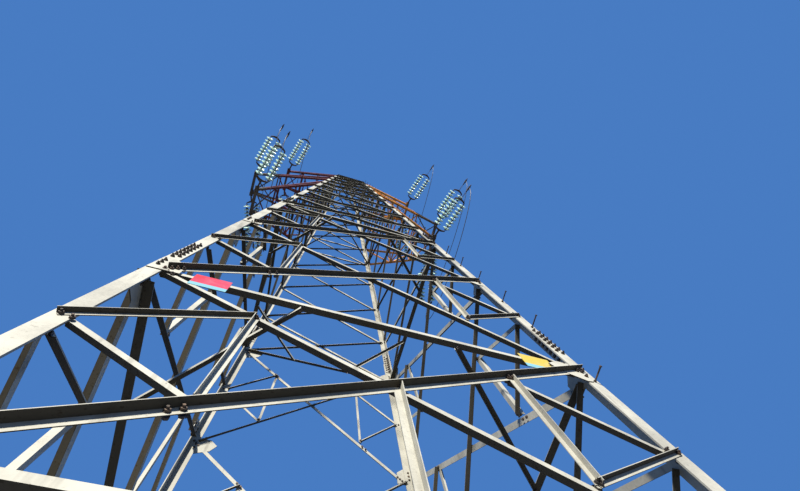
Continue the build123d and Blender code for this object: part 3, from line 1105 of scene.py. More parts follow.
@dataclass
class Joints:
    """All the bolted joints of the four face lattices, the splices and the plan bars."""

    outer_inset: float = 0.045
    inner_inset: float = 0.125
    upper_inset: float = 0.1
    lower_flange: float = 0.15
    upper_flange: float = 0.13
    lower_knots: Point = (-0.1, -0.035)
    upper_knots: Point = (-0.03, 0.035)
    gusset_inset: float = 0.18
    gusset: float = 0.01
    gusset_pitch: float = 0.085
    start_rise: float = 0.06
    start_edge: float = 0.06
    start_count: int = 3
    end_drop: float = 0.08
    end_edge: float = 0.11
    end_count: int = 2
    splice_start: float = 0.44
    splice_pitch: float = 0.1
    splice_count: int = 7
    splice_rows: Point = (0.045, 0.095)
    splice_cover: float = 0.012
    plan_share: float = 0.35
    plan_edge: float = 0.018
    strut_width: float = 0.06
    side_strut_width: float = 0.087
    front_seat: float = 0.0027
    side_seat: float = 0.0035

    def panel(self, low: float, high: float, ties: bool, flush: bool) -> list[Bar]:
        """Bars of a crossed panel.

        Args:
            low: Its lower level.
            high: Its upper level.
            ties: Whether the light ties are there.
            flush: Whether both diagonals are inside.

        Returns:
            The bars.
        """
        wide, narrow = PYRAMID.half_width(low), PYRAMID.half_width(high)
        inset = self.inner_inset if high < LEVELS.short else self.upper_inset
        outer = inset if flush else self.outer_inset
        start = self.gusset_inset if ties else outer
        many = 3 if ties else 2
        knots = (0.0,) if flush else ()
        if ties:
            knots = (
                *(-wide / 2 + shift for shift in self.lower_knots),
                *(narrow / 2 + shift for shift in self.upper_knots),
            )
        bars = [
            Bar((-wide + start, low), (narrow - outer, high), flush, many, knots),
            Bar((-narrow + inset, high), (wide - inset, low), True, many, (0.0,)),
        ]
        if not ties:
            return bars
        crossing = low + (high - low) * wide / (wide + narrow)
        middle = (low + high) / 2
        edge = PYRAMID.half_width(middle)
        for side in SIDES:
            upper = (side * narrow / 2, (high + crossing) / 2)
            lower = (side * wide / 2, (low + crossing) / 2)
            near, behind = (upper, lower) if side < 0 else (lower, upper)
            bars += [
                Bar((side * (edge - self.outer_inset), middle), near, False, 1),
                Bar((side * (edge - self.inner_inset), middle), behind, True, 1),
                Bar(upper, lower, False, 1),
            ]
        return bars

    def base(self) -> list[Bar]:
        """The rakers and their ties in the open foot panel.

        Returns:
            The bars.
        """
        low, high = LEVELS.foot, LEVELS.lower
        middle = (low + high) / 2
        bars = []
        for side in SIDES:
            leg = side * (PYRAMID.half_width(low) - self.outer_inset)
            tie = side * (PYRAMID.half_width(middle) - self.outer_inset)
            bars.append(Bar((leg, low), (0.0, high), False))
            bars.append(Bar((tie, middle), (leg / 2, middle), False))
        return bars

    def strut(self, level: float, flush: bool) -> Bar:
        """Level bar of a face.

        Args:
            level: Its level.
            flush: Whether it is inside.

        Returns:
            The bar.
        """
        inner = self.inner_inset if level < LEVELS.short else self.upper_inset
        reach = PYRAMID.half_width(level) - (inner if flush else self.outer_inset)
        return Bar((-reach, level), (reach, level), flush)

    def face_bars(self, face: Face) -> list[Bar]:
        """Every bar of one face.

        Args:
            face: Which face.

        Returns:
            The bars.
        """
        side_face = face in (Face.LEFT, Face.RIGHT)
        bars = [
            *self.base(),
            self.strut(LEVELS.lower, True),
            *self.panel(LEVELS.lower, LEVELS.strut, True, False),
            self.strut(LEVELS.strut, True),
            *self.panel(LEVELS.strut, LEVELS.mid, True, False),
            *self.panel(LEVELS.mid, LEVELS.splice, True, False),
            self.strut(LEVELS.splice, True),
        ]
        steps = (LEVELS.splice, LEVELS.short, *LEVELS.upper, LEVELS.arms[0])
        for low, high in zip(steps, steps[1:]):
            bars += self.panel(low, high, False, side_face and low > LEVELS.splice)
        for i, (level, height) in enumerate(zip(LEVELS.arms, LEVELS.arm_heights)):
            chord = level + height
            bars += [self.strut(z, side_face) for z in (level, chord)]
            bars += self.panel(level, chord, False, side_face)
            if i + 1 < len(LEVELS.arms):
                bars += self.panel(chord, LEVELS.arms[i + 1], False, side_face)
        return bars

    def seats(self, bar: Bar, across: float, level: float) -> Point:
        """Where the nut and the head of a bolt at a bar's end sit.

        Args:
            bar: The bar.
            across: The bolt's distance from the face's middle line.
            level: Its level.

        Returns:
            Both seats, as distances outward from the face's plane.
        """
        flange = self.lower_flange if level < LEVELS.leg_change else self.upper_flange
        on_leg = PYRAMID.half_width(level) - abs(across) < flange
        if bar.bolts == 1 and not on_leg:
            return BAR, -LEG - BAR
        if bar.inside:
            return (0.0 if on_leg else -LEG), -LEG - BAR
        return (self.gusset if bar.bolts > 2 else BAR), (-LEG if on_leg else 0.0)

    def bars(self, bolts: Bolts, face: Face) -> None:
        """Bolts through the bars of one face.

        Args:
            bolts: Takes them.
            face: Which face.
        """
        out = PYRAMID.outward(face)
        for bar in self.face_bars(face):
            for across, level in bar.rows():
                nut, head = self.seats(bar, across, level)
                bolts.add(PYRAMID.spot(face, across, level, nut), out, nut - head)
            for across, level in bar.middles():
                bolts.add(PYRAMID.spot(face, across, level, BAR), out, LEG + 2 * BAR)

    def plates(self, bolts: Bolts, face: Face) -> None:
        """Bolts through the gussets of one face and the leg under them.

        Args:
            bolts: Takes them.
            face: Which face.
        """
        out = PYRAMID.outward(face)
        grip = self.gusset + LEG
        for level in (LEVELS.lower, LEVELS.strut, LEVELS.mid, LEVELS.splice):
            for i in range(self.start_count):
                up = level + self.start_rise + self.gusset_pitch * i
                across = -PYRAMID.half_width(up) + self.start_edge
                bolts.add(PYRAMID.spot(face, across, up, self.gusset), out, grip)
        for level in (LEVELS.strut, LEVELS.mid, LEVELS.splice):
            for i in range(self.end_count):
                up = level - self.end_drop - self.gusset_pitch * i
                across = PYRAMID.half_width(up) - self.end_edge
                bolts.add(PYRAMID.spot(face, across, up, self.gusset), out, grip)

    def splices(self, bolts: Bolts) -> None:
        """Two staggered rows of bolts in every splice of the legs.

        Args:
            bolts: Takes them.
        """
        spots = [
            (face, base, side, i, row)
            for face in Face
            for base in (LEVELS.strut, LEVELS.splice)
            for side in SIDES
            for i in range(self.splice_count)
            for row in range(len(self.splice_rows))
        ]
        for face, base, side, i, row in spots:
            level = base + self.splice_start + self.splice_pitch * (i + 0.5 * row)
            across = side * (PYRAMID.half_width(level) - self.splice_rows[row])
            place = PYRAMID.spot(face, across, level)
            bolts.add(place, PYRAMID.outward(face), LEG + self.splice_cover)

    def plan(self, bolts: Bolts) -> None:
        """A bolt at each end of the bars that cut the corners under the main struts.

        Args:
            bolts: Takes them.
        """
        front, side = self.strut_width / 2, self.side_strut_width / 2
        for level in (LEVELS.strut, LEVELS.splice):
            edge = PYRAMID.half_width(level)
            near = edge * self.plan_share
            for x, y in CORNERS:
                ends = (
                    Vector((x * near, y * (edge - LEG - front), level - front - self.front_seat)),
                    Vector((x * (edge - LEG - side), y * near, level - side - self.side_seat)),
                )
                for here, there in (ends, ends[::-1]):
                    spot = here + (there - here).normalized() * self.plan_edge
                    spot.z = here.z - BAR
                    bolts.add(spot, DOWN, 2 * BAR)

    def build(self, crew: Crew, finish: bpy.types.Material) -> None:
        """Sets the bolts: a piece for each face, one for the splices, one for the plan bars.

        Args:
            crew: Takes the pieces.
            finish: The bolts' finish.
        """
        for face in Face:
            bolts = Bolts("bolts_" + face.name.lower())
            self.bars(bolts, face)
            self.plates(bolts, face)
            bolts.build(crew, finish)
        splices = Bolts("bolts_splices", SPLICE_BOLT)
        self.splices(splices)
        splices.build(crew, finish)
        plan = Bolts("bolts_plan")
        self.plan(plan)
        plan.build(crew, finish)


@dataclass(frozen=True)
class Steps:
    """Climbing bolts up the front right leg: round rods held by two nuts, with button heads."""

    first: float = 6.07
    pitch: float = 1.03
    clear: float = 0.09
    splice: float = 1.15
    inset: float = 0.05
    reach: float = 0.17
    tail: float = 0.03
    thread: float = 0.008
    rod: float = 0.009
    head_depth: float = 0.004
    head: Outline = ((-0.012, 0.013), (-0.008, 0.016), (0.0, 0.012))
    nut: float = 0.016
    nut_height: float = 0.015
    nut_starts: Point = (-LEG - 0.016, 0.001)

    def levels(self) -> list[float]:
        """Heights of the bolts, moved up where bars or splices cover the flange.

        Returns:
            The heights.
        """
        low = (LEVELS.lower, LEVELS.strut, LEVELS.mid, LEVELS.splice)
        joints = [*low, LEVELS.short, *LEVELS.upper, *LEVELS.arms]
        joints += [level + height for level, height in zip(LEVELS.arms, LEVELS.arm_heights)]
        joints += [(under + over) / 2 for under, over in zip(low, low[1:])]
        found = []
        height = self.first
        while height < LEVELS.body_top - self.clear:
            for joint in sorted(joints):
                clear = self.clear + (self.splice if joint in (LEVELS.strut, LEVELS.splice) else 0.0)
                if joint - self.clear < height < joint + clear:
                    height = joint + clear
            found.append(height)
            height += self.pitch
        return found

    def build(self, crew: Crew, finish: bpy.types.Material) -> None:
        """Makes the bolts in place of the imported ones.

        Args:
            crew: Takes the piece.
            finish: Their finish.
        """
        shape = Shape()
        out = PYRAMID.outward(Face.FRONT)
        rod = ((-LEG - self.tail, self.thread), (self.reach - self.head_depth, self.rod))
        head = [(self.reach + z, radius) for z, radius in self.head]
        for level in self.levels():
            across = PYRAMID.half_width(level) - self.inset
            place = aimed(PYRAMID.spot(Face.FRONT, across, level), out)
            shape.turned(rod, place, 8)
            shape.turned(head, place, 8)
            for start in self.nut_starts:
                shape.turned(((start, self.nut), (start + self.nut_height, self.nut)), place, 6)
        crew.hang(shape.finish("step_bolts_round", finish), ["step_bolts"])


@dataclass(frozen=True)
class Feet:
    """Anchor studs, stiffening ribs and mortar beds of the four feet."""

    cap: float = 0.45
    thickness: float = 0.03
    plate_shift: float = 0.03
    spacing: float = 0.34
    leg: float = 0.14
    rib_height: float = 0.24
    rib_reach: float = 0.125
    rib_toe: float = 0.03
    rib_thickness: float = 0.012
    rib_bevel: float = 0.002
    washer: Outline = ((0.0, 0.034), (0.006, 0.034))
    nut: Outline = ((0.006, 0.03), (0.009, 0.032), (0.035, 0.032), (0.038, 0.03))
    lock_nut: Outline = ((0.04, 0.03), (0.058, 0.032), (0.06, 0.029))
    lock_turn: float = 0.4
    stud: Outline = ((0.0, 0.018), (0.088, 0.018), (0.092, 0.015))
    bed: Outline = ((0.275, 0.0005), (0.262, 0.012), (0.233, 0.022))

    def centre(self, x: int, y: int) -> Vector:
        """Middle of the top of the foot plate at -1 or 1 along X and along Y."""
        corner = PYRAMID.half_width(self.cap) - self.leg / 2 + self.plate_shift
        return Vector((x * corner, y * corner, self.cap + self.thickness))

    def anchors(self) -> Shape:
        """Washer, two nuts and the threaded end of every stud.

        Returns:
            The shape.
        """
        shape = Shape()
        half = self.spacing / 2
        for foot in CORNERS:
            for x, y in CORNERS:
                place = Matrix.Translation(self.centre(*foot) + Vector((x * half, y * half, 0.0)))
                shape.turned(self.washer, place, 14)
                shape.turned(self.nut, place, 6)
                shape.turned(self.lock_nut, place @ Matrix.Rotation(self.lock_turn, 4, "Z"), 6)
                shape.turned(self.stud, place, 10)
        return shape

    def ribs(self) -> Shape:
        """Triangular ribs between the leg's flanges and the plate, outside and inside.

        Returns:
            The shape.
        """
        shape = Shape()
        base = self.cap + self.thickness
        top = base + self.rib_height
        low, high = PYRAMID.half_width(base), PYRAMID.half_width(top)
        middle = low - self.leg / 2
        half = self.rib_thickness / 2
        outlines = []
        for depth, way in ((0.0, 1), (LEG, -1)):
            near = low - depth
            far = near + way * self.rib_reach
            outlines.append(
                ((near, base), (far, base), (far, base + self.rib_toe), (high - depth, top))
            )
        for x, y in CORNERS:
            across = Matrix(((0, 0, 1, x * middle), (y, 0, 0, 0), (0, 1, 0, 0), (0, 0, 0, 1)))
            along = Matrix(((x, 0, 0, 0), (0, 0, 1, y * middle), (0, 1, 0, 0), (0, 0, 0, 1)))
            for outline in outlines:
                shape.cut(outline, across, -half, half)
                shape.cut(outline, along, -half, half)
        return shape

    def beds(self) -> Shape:
        """Sloping mortar round each foot plate.

        Returns:
            The shape.
        """
        shape = Shape()
        square = ((-1, -1), (1, -1), (1, 1), (-1, 1))
        for foot in CORNERS:
            centre = self.centre(*foot)
            rings = []
            for half, up in self.bed:
                z = self.cap + up - centre.z
                rings.append([centre + Vector((x * half, y * half, z)) for x, y in square])
            shape.rings(rings)
        return shape

    def build(
        self,
        crew: Crew,
        iron: bpy.types.Material,
        zinc: bpy.types.Material,
        mortar: bpy.types.Material,
    ) -> None:
        """Makes the three pieces.

        Args:
            crew: Takes the pieces.
            iron: Finish of the studs and nuts.
            zinc: Finish of the ribs.
            mortar: Finish of the beds.
        """
        crew.hang(self.anchors().finish("anchor_studs", iron))
        ribs = self.ribs().finish("foot_ribs", zinc, None, self.rib_bevel)
        crew.hang(ribs)
        crew.hang(self.beds().finish("mortar_beds", mortar, None))


@dataclass
class ArmJoints:
    """Bolts of the cross-arms: root plates, chord nodes, tip plates and lugs."""

    bays: Point = (0.36, 0.68)
    bay_steps: Point = (-0.035, 0.035)
    look_ahead: float = 0.1
    tip_half_depth: float = 0.39
    tip_height: float = 0.17
    tip_columns: tuple[float, ...] = (-0.21, -0.13, -0.05, 0.02)
    tip_rows: tuple[float, ...] = (0.0, 0.04, 0.13, 0.17)
    end_plate: float = 0.01
    lug_columns: Point = (-0.075, 0.0)
    lug_rows: Point = (-0.05, 0.03)
    lug: float = 0.016
    chord_inset: float = 0.05
    chord: float = 0.08
    root_plate: float = 0.15
    root_shift: float = 0.005
    root_spread: float = 0.052
    root_thickness: float = 0.012

    def point(self, arm: int, side: int, share: float, end: int, upper: bool) -> Vector:
        """Point of a chord.

        Args:
            arm: Which arm, counted from the lowest.
            side: -1 left, 1 right.
            share: Share of the way from the leg to the tip.
            end: -1 front, 1 back.
            upper: Whether it is a top chord.

        Returns:
            The point.
        """
        level = LEVELS.arms[arm]
        root_z = level + (LEVELS.arm_heights[arm] if upper else 0.0)
        half = PYRAMID.half_width(root_z)
        root = Vector((half, half - self.chord_inset, root_z))
        lift = self.tip_height if upper else 0.0
        tip = Vector((LEVELS.arm_reaches[arm], self.tip_half_depth, level + lift))
        spot = root.lerp(tip, share)
        return Vector((side * spot.x, end * spot.y, spot.z))

    def bay(self, bolts: Bolts, arm: int, side: int, end: int) -> None:
        """Two bolts at each knot of the chords of one side of an arm.

        Args:
            bolts: Takes them.
            arm: Which arm, counted from the lowest.
            side: -1 left, 1 right.
            end: -1 front, 1 back.
        """
        for share in self.bays:
            for upper in (False, True):
                node = self.point(arm, side, share, end, upper)
                ahead = self.point(arm, side, share + self.look_ahead, end, upper) - node
                for step in self.bay_steps:
                    bolts.add(node + ahead.normalized() * step, DOWN, BAR)

    def root(self, bolts: Bolts, arm: int, side: int, end: int) -> None:
        """Four bolts in each root plate of one side of an arm.

        Args:
            bolts: Takes them.
            arm: Which arm, counted from the lowest.
            side: -1 left, 1 right.
            end: -1 front, 1 back.
        """
        face = Face.LEFT if side < 0 else Face.RIGHT
        sign = end if side > 0 else -end
        for level in (LEVELS.arms[arm], LEVELS.arms[arm] + LEVELS.arm_heights[arm]):
            middle = PYRAMID.half_width(level) - self.root_plate / 2 - self.root_shift
            for x, z in CORNERS:
                across = sign * (middle + x * self.root_spread)
                up = level + z * self.root_spread
                spot = PYRAMID.spot(face, across, up, self.root_thickness)
                bolts.add(spot, PYRAMID.outward(face), self.root_thickness + LEG)

    def tip(self, bolts: Bolts, arm: int, side: int, end: int) -> None:
        """Bolts through an end plate of the tip and down through its lug.

        Args:
            bolts: Takes them.
            arm: Which arm, counted from the lowest.
            side: -1 left, 1 right.
            end: -1 front, 1 back.
        """
        reach, level = side * LEVELS.arm_reaches[arm], LEVELS.arms[arm]
        face_y = end * (self.tip_half_depth + self.chord / 2 + self.end_plate)
        for x in self.tip_columns:
            for z in self.tip_rows:
                spot = Vector((reach + side * x, face_y, level + z))
                bolts.add(spot, Vector((0.0, end, 0.0)), self.end_plate + BAR)
        for x in self.lug_columns:
            for row in self.lug_rows:
                y = end * (self.tip_half_depth + row)
                bolts.add(Vector((reach + side * x, y, level - self.lug)), DOWN, self.lug + BAR)

    def build(self, crew: Crew, finish: bpy.types.Material) -> None:
        """Sets the bolts of all six arms as one piece.

        Args:
            crew: Takes the piece.
            finish: The bolts' finish.
        """
        bolts = Bolts("bolts_arms", ARM_BOLT)
        for arm in range(len(LEVELS.arms)):
            for side, end in CORNERS:
                self.root(bolts, arm, side, end)
                self.bay(bolts, arm, side, end)
                self.tip(bolts, arm, side, end)
        bolts.build(crew, finish)


@dataclass(frozen=True)
class PeakFittings:
    """Bolts of the earth-wire peak and a lug with a shackle under each end of its top."""

    foot_inset: float = 0.0625
    foot_steps: Point = (-0.04, 0.04)
    plate: float = 0.012
    cap: float = 0.15
    cap_edge: float = 0.03
    eye_reach: float = 0.295
    eye_drop: float = 0.045
    lug_edge: Outline = ((0.03, -0.01), (0.012, -0.03), (-0.02, -0.03), (-0.06, 0.0))
    lug_half: float = 0.006
    bow_half: float = 0.017
    bow_length: float = 0.08
    bow_sink: float = 0.02
    bow_radius: float = 0.007
    bow_fullness: float = 0.6
    pin_back: float = 0.034
    pin: Outline = ((0.0, 0.013), (0.01, 0.013), (0.011, 0.008), (0.062, 0.008))

    def bolts(self) -> Bolts:
        """Bolts through the peak's foot plates and its cap.

        Returns:
            The bolts, not yet built.
        """
        bolts = Bolts("bolts_peak", ARM_BOLT)
        up = -DOWN
        foot = PYRAMID.half_width(LEVELS.body_top) - self.foot_inset
        low, high = LEVELS.body_top + self.plate, LEVELS.peak_top
        cap = self.cap - self.cap_edge
        for x, y in CORNERS:
            for step in self.foot_steps:
                bolts.add(Vector((x * foot + step, y * foot + step, low)), up, self.plate)
            bolts.add(Vector((x * cap, y * cap, high)), DOWN, self.plate)
        return bolts

    def shackles(self) -> Shape:
        """The lugs with their shackles and pins.

        Returns:
            The shape.
        """
        shape = Shape()
        under = LEVELS.peak_top + self.plate
        right = Vector((1.0, 0.0, 0.0))
        lug = ((self.lug_edge[-1][0], self.eye_drop), (self.lug_edge[0][0], self.eye_drop))
        for end in SIDES:
            centre = Vector((0.0, end * self.eye_reach, under - self.eye_drop))
            place = aimed(centre, right, Vector((0.0, end, 0.0)))
            outline = [(x, end * y) for x, y in (*lug, *self.lug_edge)]
            shape.cut(outline, place, -self.lug_half, self.lug_half)
            bow = []
            for a in BOW:
                out = end * self.bow_length * math.sin(a) ** self.bow_fullness
                bow.append(
                    centre + Vector((self.bow_half * math.cos(a), out, -self.bow_sink * math.sin(a)))
                )
            shape.rod(bow, self.bow_radius)
            pin = aimed(centre - right * self.pin_back, right)
            shape.turned(self.pin, pin, 6)
        return shape

    def build(self, crew: Crew, finish: bpy.types.Material) -> None:
        """Makes the bolts and the shackles."""
        self.bolts().build(crew, finish)
        crew.hang(self.shackles().finish("earth_shackles", finish))


@dataclass(frozen=True)
class Disc:
    """Outlines of one cap-and-pin disc, as (along the string, radius)."""

    shell: Outline = (
        (0.046, 0.052), (0.050, 0.082), (0.057, 0.112), (0.067, 0.130), (0.077, 0.1370),
        (0.0876, 0.14), (0.098, 0.1362), (0.094, 0.112), (0.108, 0.098), (0.094, 0.080),
        (0.102, 0.064), (0.086, 0.050), (0.088, 0.012),
    )
    cap: Outline = (
        (0.0, 0.018), (0.001, 0.036), (0.010, 0.050), (0.056, 0.058), (0.064, 0.058), (0.068, 0.048),
    )
    pin: Outline = (
        (0.084, 0.0095), (0.088, 0.036), (0.108, 0.030), (0.112, 0.0115), (0.142, 0.0115),
        (0.146, 0.018), (0.152, 0.010),
    )
    glass_sides: int = 16
    cap_sides: int = 12
    pin_sides: int = 8

    def glass(self) -> Shape:
        """One glass shell, its cap side at the origin and opening along Z."""
        return Shape().turned(self.shell, Matrix(), self.glass_sides)

    def iron(self) -> Shape:
        """One cap with its pin and ball, the cap at the origin."""
        cap = Shape().turned(self.cap, Matrix(), self.cap_sides)
        return cap.turned(self.pin, Matrix(), self.pin_sides)


@dataclass(frozen=True)
class Yoke:
    """Bowed yoke between two single strings, with an eye at each end."""

    rise: float = 0.09
    spacing: float = 0.4
    bow: float = 0.8
    curved: float = 0.9
    straight: float = 0.1
    overhang: float = 1.06
    seat: float = 0.03
    depth: float = 0.040
    thinning: float = 0.014
    half: float = 0.014
    steps: int = 12
    eye: Outline = ((0.0, 0.014), (0.002, 0.017), (0.046, 0.017), (0.048, 0.014))
    eye_half: float = 0.024
    eye_seat: float = 0.025

    def cut(self, shape: Shape, place: Matrix, way: int) -> None:
        """Adds the yoke.

        Args:
            shape: Takes it.
            place: Frame of its middle: X across, Z along the pull.
            way: 1 where its arms lean along the pull, -1 where against it.
        """
        half = self.spacing / 2
        outline: list[Point] = []
        for edge, order in ((-1, range(self.steps + 1)), (1, range(self.steps, -1, -1))):
            for i in order:
                t = 2 * i / self.steps - 1
                bow = self.rise * (self.curved * t * t + self.straight * abs(t)) * self.bow
                thick = self.depth - self.thinning * abs(t)
                along = way * (bow + self.seat) + edge * way * thick
                outline.append((half * t * self.overhang, along))
        flat = place @ Matrix.Rotation(QUARTER, 4, "X")
        shape.cut(outline, flat, -self.half, self.half)
        for side in SIDES:
            shift = (side * half, -self.eye_half, way * (self.rise * self.bow + self.eye_seat))
            shape.turned(self.eye, moved(place, shift, -QUARTER, "X"), 6)


@dataclass(frozen=True)
class Clamp:
    """Extension link, then a bolted strain clamp with its jumper terminal."""

    extension: float = 0.33
    length: float = 0.3
    strap_gap: float = 0.012
    strap_half: float = 0.003
    strap_width: float = 0.014
    strap_tail: float = 0.05
    strap_lead: float = 0.03
    pin: Outline = ((0.0, 0.013), (0.01, 0.013), (0.012, 0.008), (0.052, 0.008))
    pin_back: float = 0.026
    pin_seat: float = 0.03
    body: tuple[tuple[float, float, float], ...] = (
        (-0.03, 0.007, 0.014), (0.01, 0.009, 0.02), (0.04, 0.022, 0.026), (0.10, 0.027, 0.034),
        (0.20, 0.027, 0.034), (0.25, 0.02, 0.026), (0.29, 0.014, 0.016), (0.299, 0.01, 0.012),
    )
    body_sides: int = 10
    stud_rows: tuple[float, ...] = (0.085, 0.125, 0.165, 0.205)
    stud_reach: float = 0.024
    stud_top: float = 0.05
    stud: Outline = ((0.0, 0.006), (0.1, 0.006))
    nut: Outline = ((0.0, 0.0115), (0.010, 0.0115))
    nut_seats: Point = (0.008, 0.082)
    terminal: tuple[float, ...] = (0.0, 0.05, 0.118)
    terminal_radius: float = 0.019
    terminal_length: float = 0.11

    def strap(self, shape: Shape, place: Matrix) -> None:
        """Adds the two straps of the extension link with their pins.

        Args:
            shape: Takes them.
            place: Frame of the far yoke's middle.
        """
        flat = place @ Matrix.Rotation(QUARTER, 4, "X")
        half, top = self.strap_half, self.extension + self.strap_lead
        outline = ((-half, -self.strap_tail), (half, -self.strap_tail), (half, top), (-half, top))
        for side in SIDES:
            strap = [(side * self.strap_gap + x, z) for x, z in outline]
            shape.cut(strap, flat, -self.strap_width, self.strap_width)
        for z in (-self.pin_seat, self.extension):
            shape.turned(self.pin, moved(place, (-self.pin_back, 0.0, z), QUARTER, "Y"), 6)

    def grip(self, shape: Shape, place: Matrix) -> None:
        """Adds the clamp's body, its studs and nuts, and the terminal that points down.

        Args:
            shape: Takes them.
            place: Frame of the far yoke's middle.
        """
        start, sides = self.extension, self.body_sides
        angles = [math.tau * (k + 0.5) / sides for k in range(sides)]
        shape.rings(
            [
                [place @ Vector((wide * math.cos(a), tall * math.sin(a), start + z)) for a in angles]
                for z, wide, tall in self.body
            ]
        )
        for z in self.stud_rows:
            for side in SIDES:
                shift = (side * self.stud_reach, self.stud_top, start + z)
                stud = moved(place, shift, QUARTER, "X")
                shape.turned(self.stud, stud, 6)
                for seat in self.nut_seats:
                    shape.turned(self.nut, moved(stud, (0.0, 0.0, seat)), 6)
        middle = place @ Vector((0.0, 0.0, start + self.length / 2))
        shape.rod([middle + DOWN * z for z in self.terminal], self.terminal_radius)


@dataclass
class StringSet:
    """The double strings of one cross-arm tip, one set a span."""

    arm: int
    hand: Hand
    disc: Disc = Disc()
    near_yoke: Yoke = Yoke()
    clamp: Clamp = Clamp()
    disc_count: int = 8
    pitch: float = 0.146
    pin: float = 0.06
    line_angle: float = 16.5
    sag: float = 6.0
    lug_inset: float = 0.0375
    lug_depth: float = 0.5
    lug_drop: float = 0.016
    tongue: float = 0.27
    tongue_drop: float = 0.008
    tongue_plate: Outline = (
        (0.03, -0.028), (0.03, 0.028), (0.25, 0.034), (0.29, 0.02), (0.29, -0.02), (0.25, -0.034),
    )
    tongue_faces: Point = (-0.014, -0.002)
    shackle_middle: float = 0.075
    shackle_length: float = 0.055
    shackle_half: float = 0.026
    shackle_radius: float = 0.009
    shackle_bolt: Outline = ((0.0, 0.012), (0.09, 0.012))
    bolt_place: tuple[float, float, float] = (0.02, 0.0, -0.045)
    near_link: Outline = (
        (0.082, 0.012), (0.09, 0.02), (0.105, 0.02), (0.11, 0.011), (0.152, 0.011),
    )
    far_link: Outline = (
        (0.0, 0.011), (0.012, 0.024), (0.04, 0.024), (0.048, 0.014), (0.078, 0.014),
    )
    glass_smooth: float = 50.0
    cap_smooth: float = 40.0

    @property
    def name(self) -> str:
        """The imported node's name without its kind."""
        return ("lower", "middle", "upper")[self.arm] + "_" + self.hand.name.lower()

    @property
    def first_disc(self) -> float:
        """Distance along the pull from the near yoke to the first disc."""
        return self.near_yoke.rise + self.pin

    @property
    def far_yoke(self) -> float:
        """Distance along the pull from the near yoke to the far one."""
        length = self.disc_count * self.pitch
        return self.first_disc + length + self.pin + self.near_yoke.rise

    def foot(self, span: Span) -> Matrix:
        """Frame of the tip lug's hole: X along the span, level.

        Args:
            span: Which span.

        Returns:
            The frame.
        """
        end = span.value
        reach = self.hand.value * (LEVELS.arm_reaches[self.arm] - self.lug_inset)
        place = (reach, end * self.lug_depth, LEVELS.arms[self.arm] - self.lug_drop)
        turn = math.radians(end * (90.0 - self.line_angle))
        return Matrix.Translation(place) @ Matrix.Rotation(turn, 4, "Z")

    def pull(self, span: Span) -> Matrix:
        """Frame of the strings: X across, Y up, Z along the line of pull.

        Args:
            span: Which span.

        Returns:
            The frame.
        """
        drop = math.radians(self.sag)
        along = Vector((math.cos(drop), 0.0, -math.sin(drop)))
        across = Vector((0.0, 1.0, 0.0))
        turn = Matrix((across, along.cross(across), along)).transposed().to_4x4()
        shift = Matrix.Translation((self.tongue, 0.0, -self.tongue_drop))
        return self.foot(span) @ shift @ turn

    def rows(self, span: Span, along: float) -> list[Matrix]:
        """Frames on both single strings of a span, a distance along the pull."""
        half = self.near_yoke.spacing / 2
        return [moved(self.pull(span), (side * half, 0.0, along)) for side in SIDES]

    def terminal(self, span: Span) -> Vector:
        """Where the jumper leaves the clamp, pointing down.

        Args:
            span: Which span.

        Returns:
            The point.
        """
        middle = self.far_yoke + self.clamp.extension + self.clamp.length / 2
        place = self.pull(span) @ Vector((0.0, 0.0, middle))
        return place + DOWN * self.clamp.terminal_length

    def recipe(self) -> Recipe:
        """Tree that sets a pattern at equal steps along every edge of the seed mesh.

        Returns:
            The tree.
        """
        recipe = Recipe("string_recipe")
        recipe.ask("Count", "Int", self.disc_count)
        recipe.ask("Pattern", "Object")
        recipe.ask("Finish", "Material")
        entry = recipe.node("NodeGroupInput", {}, {})
        curve = recipe.output("GeometryNodeMeshToCurve", {}, {"Mesh": entry.outputs[0]})
        steps = recipe.node(
            "GeometryNodeCurveToPoints",
            {"mode": "COUNT"},
            {"Curve": curve, "Count": entry.outputs["Count"]},
        )
        pattern = {"Object": entry.outputs["Pattern"]}
        along = {"Vector": steps.outputs["Tangent"]}
        placed = recipe.output(
            "GeometryNodeInstanceOnPoints",
            {},
            {
                "Points": steps.outputs[0],
                "Instance": recipe.output("GeometryNodeObjectInfo", {}, pattern, "Geometry"),
                "Rotation": recipe.output("FunctionNodeAlignRotationToVector", {"axis": "Z"}, along),
            },
        )
        recipe.close(placed, entry.outputs["Finish"])
        return recipe

    def along(self) -> bpy.types.Mesh:
        """Seed edges: one for each single string, from its first disc to its last.

        Returns:
            The seed mesh.
        """
        last = self.pitch * (self.disc_count - 1)
        points = [
            row @ Vector((0.0, 0.0, z))
            for span in Span
            for row in self.rows(span, self.first_disc)
            for z in (0.0, last)
        ]
        mesh = bpy.data.meshes.new("string_seed")
        mesh.from_pydata(points, [(i, i + 1) for i in range(0, len(points), 2)], [])
        return mesh

    def shackle(self, shape: Shape, foot: Matrix) -> None:
        """Adds the shackle, its bolt and the tongue plate at the tip's lug.

        Args:
            shape: Takes them.
            foot: Frame of the lug's hole.
        """
        bow = []
        for a in BOW:
            x = self.shackle_middle - self.shackle_length * math.cos(a)
            bow.append(foot @ Vector((x, self.shackle_half * math.sin(a), -self.tongue_drop)))
        shape.rod(bow, self.shackle_radius)
        shape.turned(self.shackle_bolt, moved(foot, self.bolt_place), 6)
        shape.cut(self.tongue_plate, foot, *self.tongue_faces)

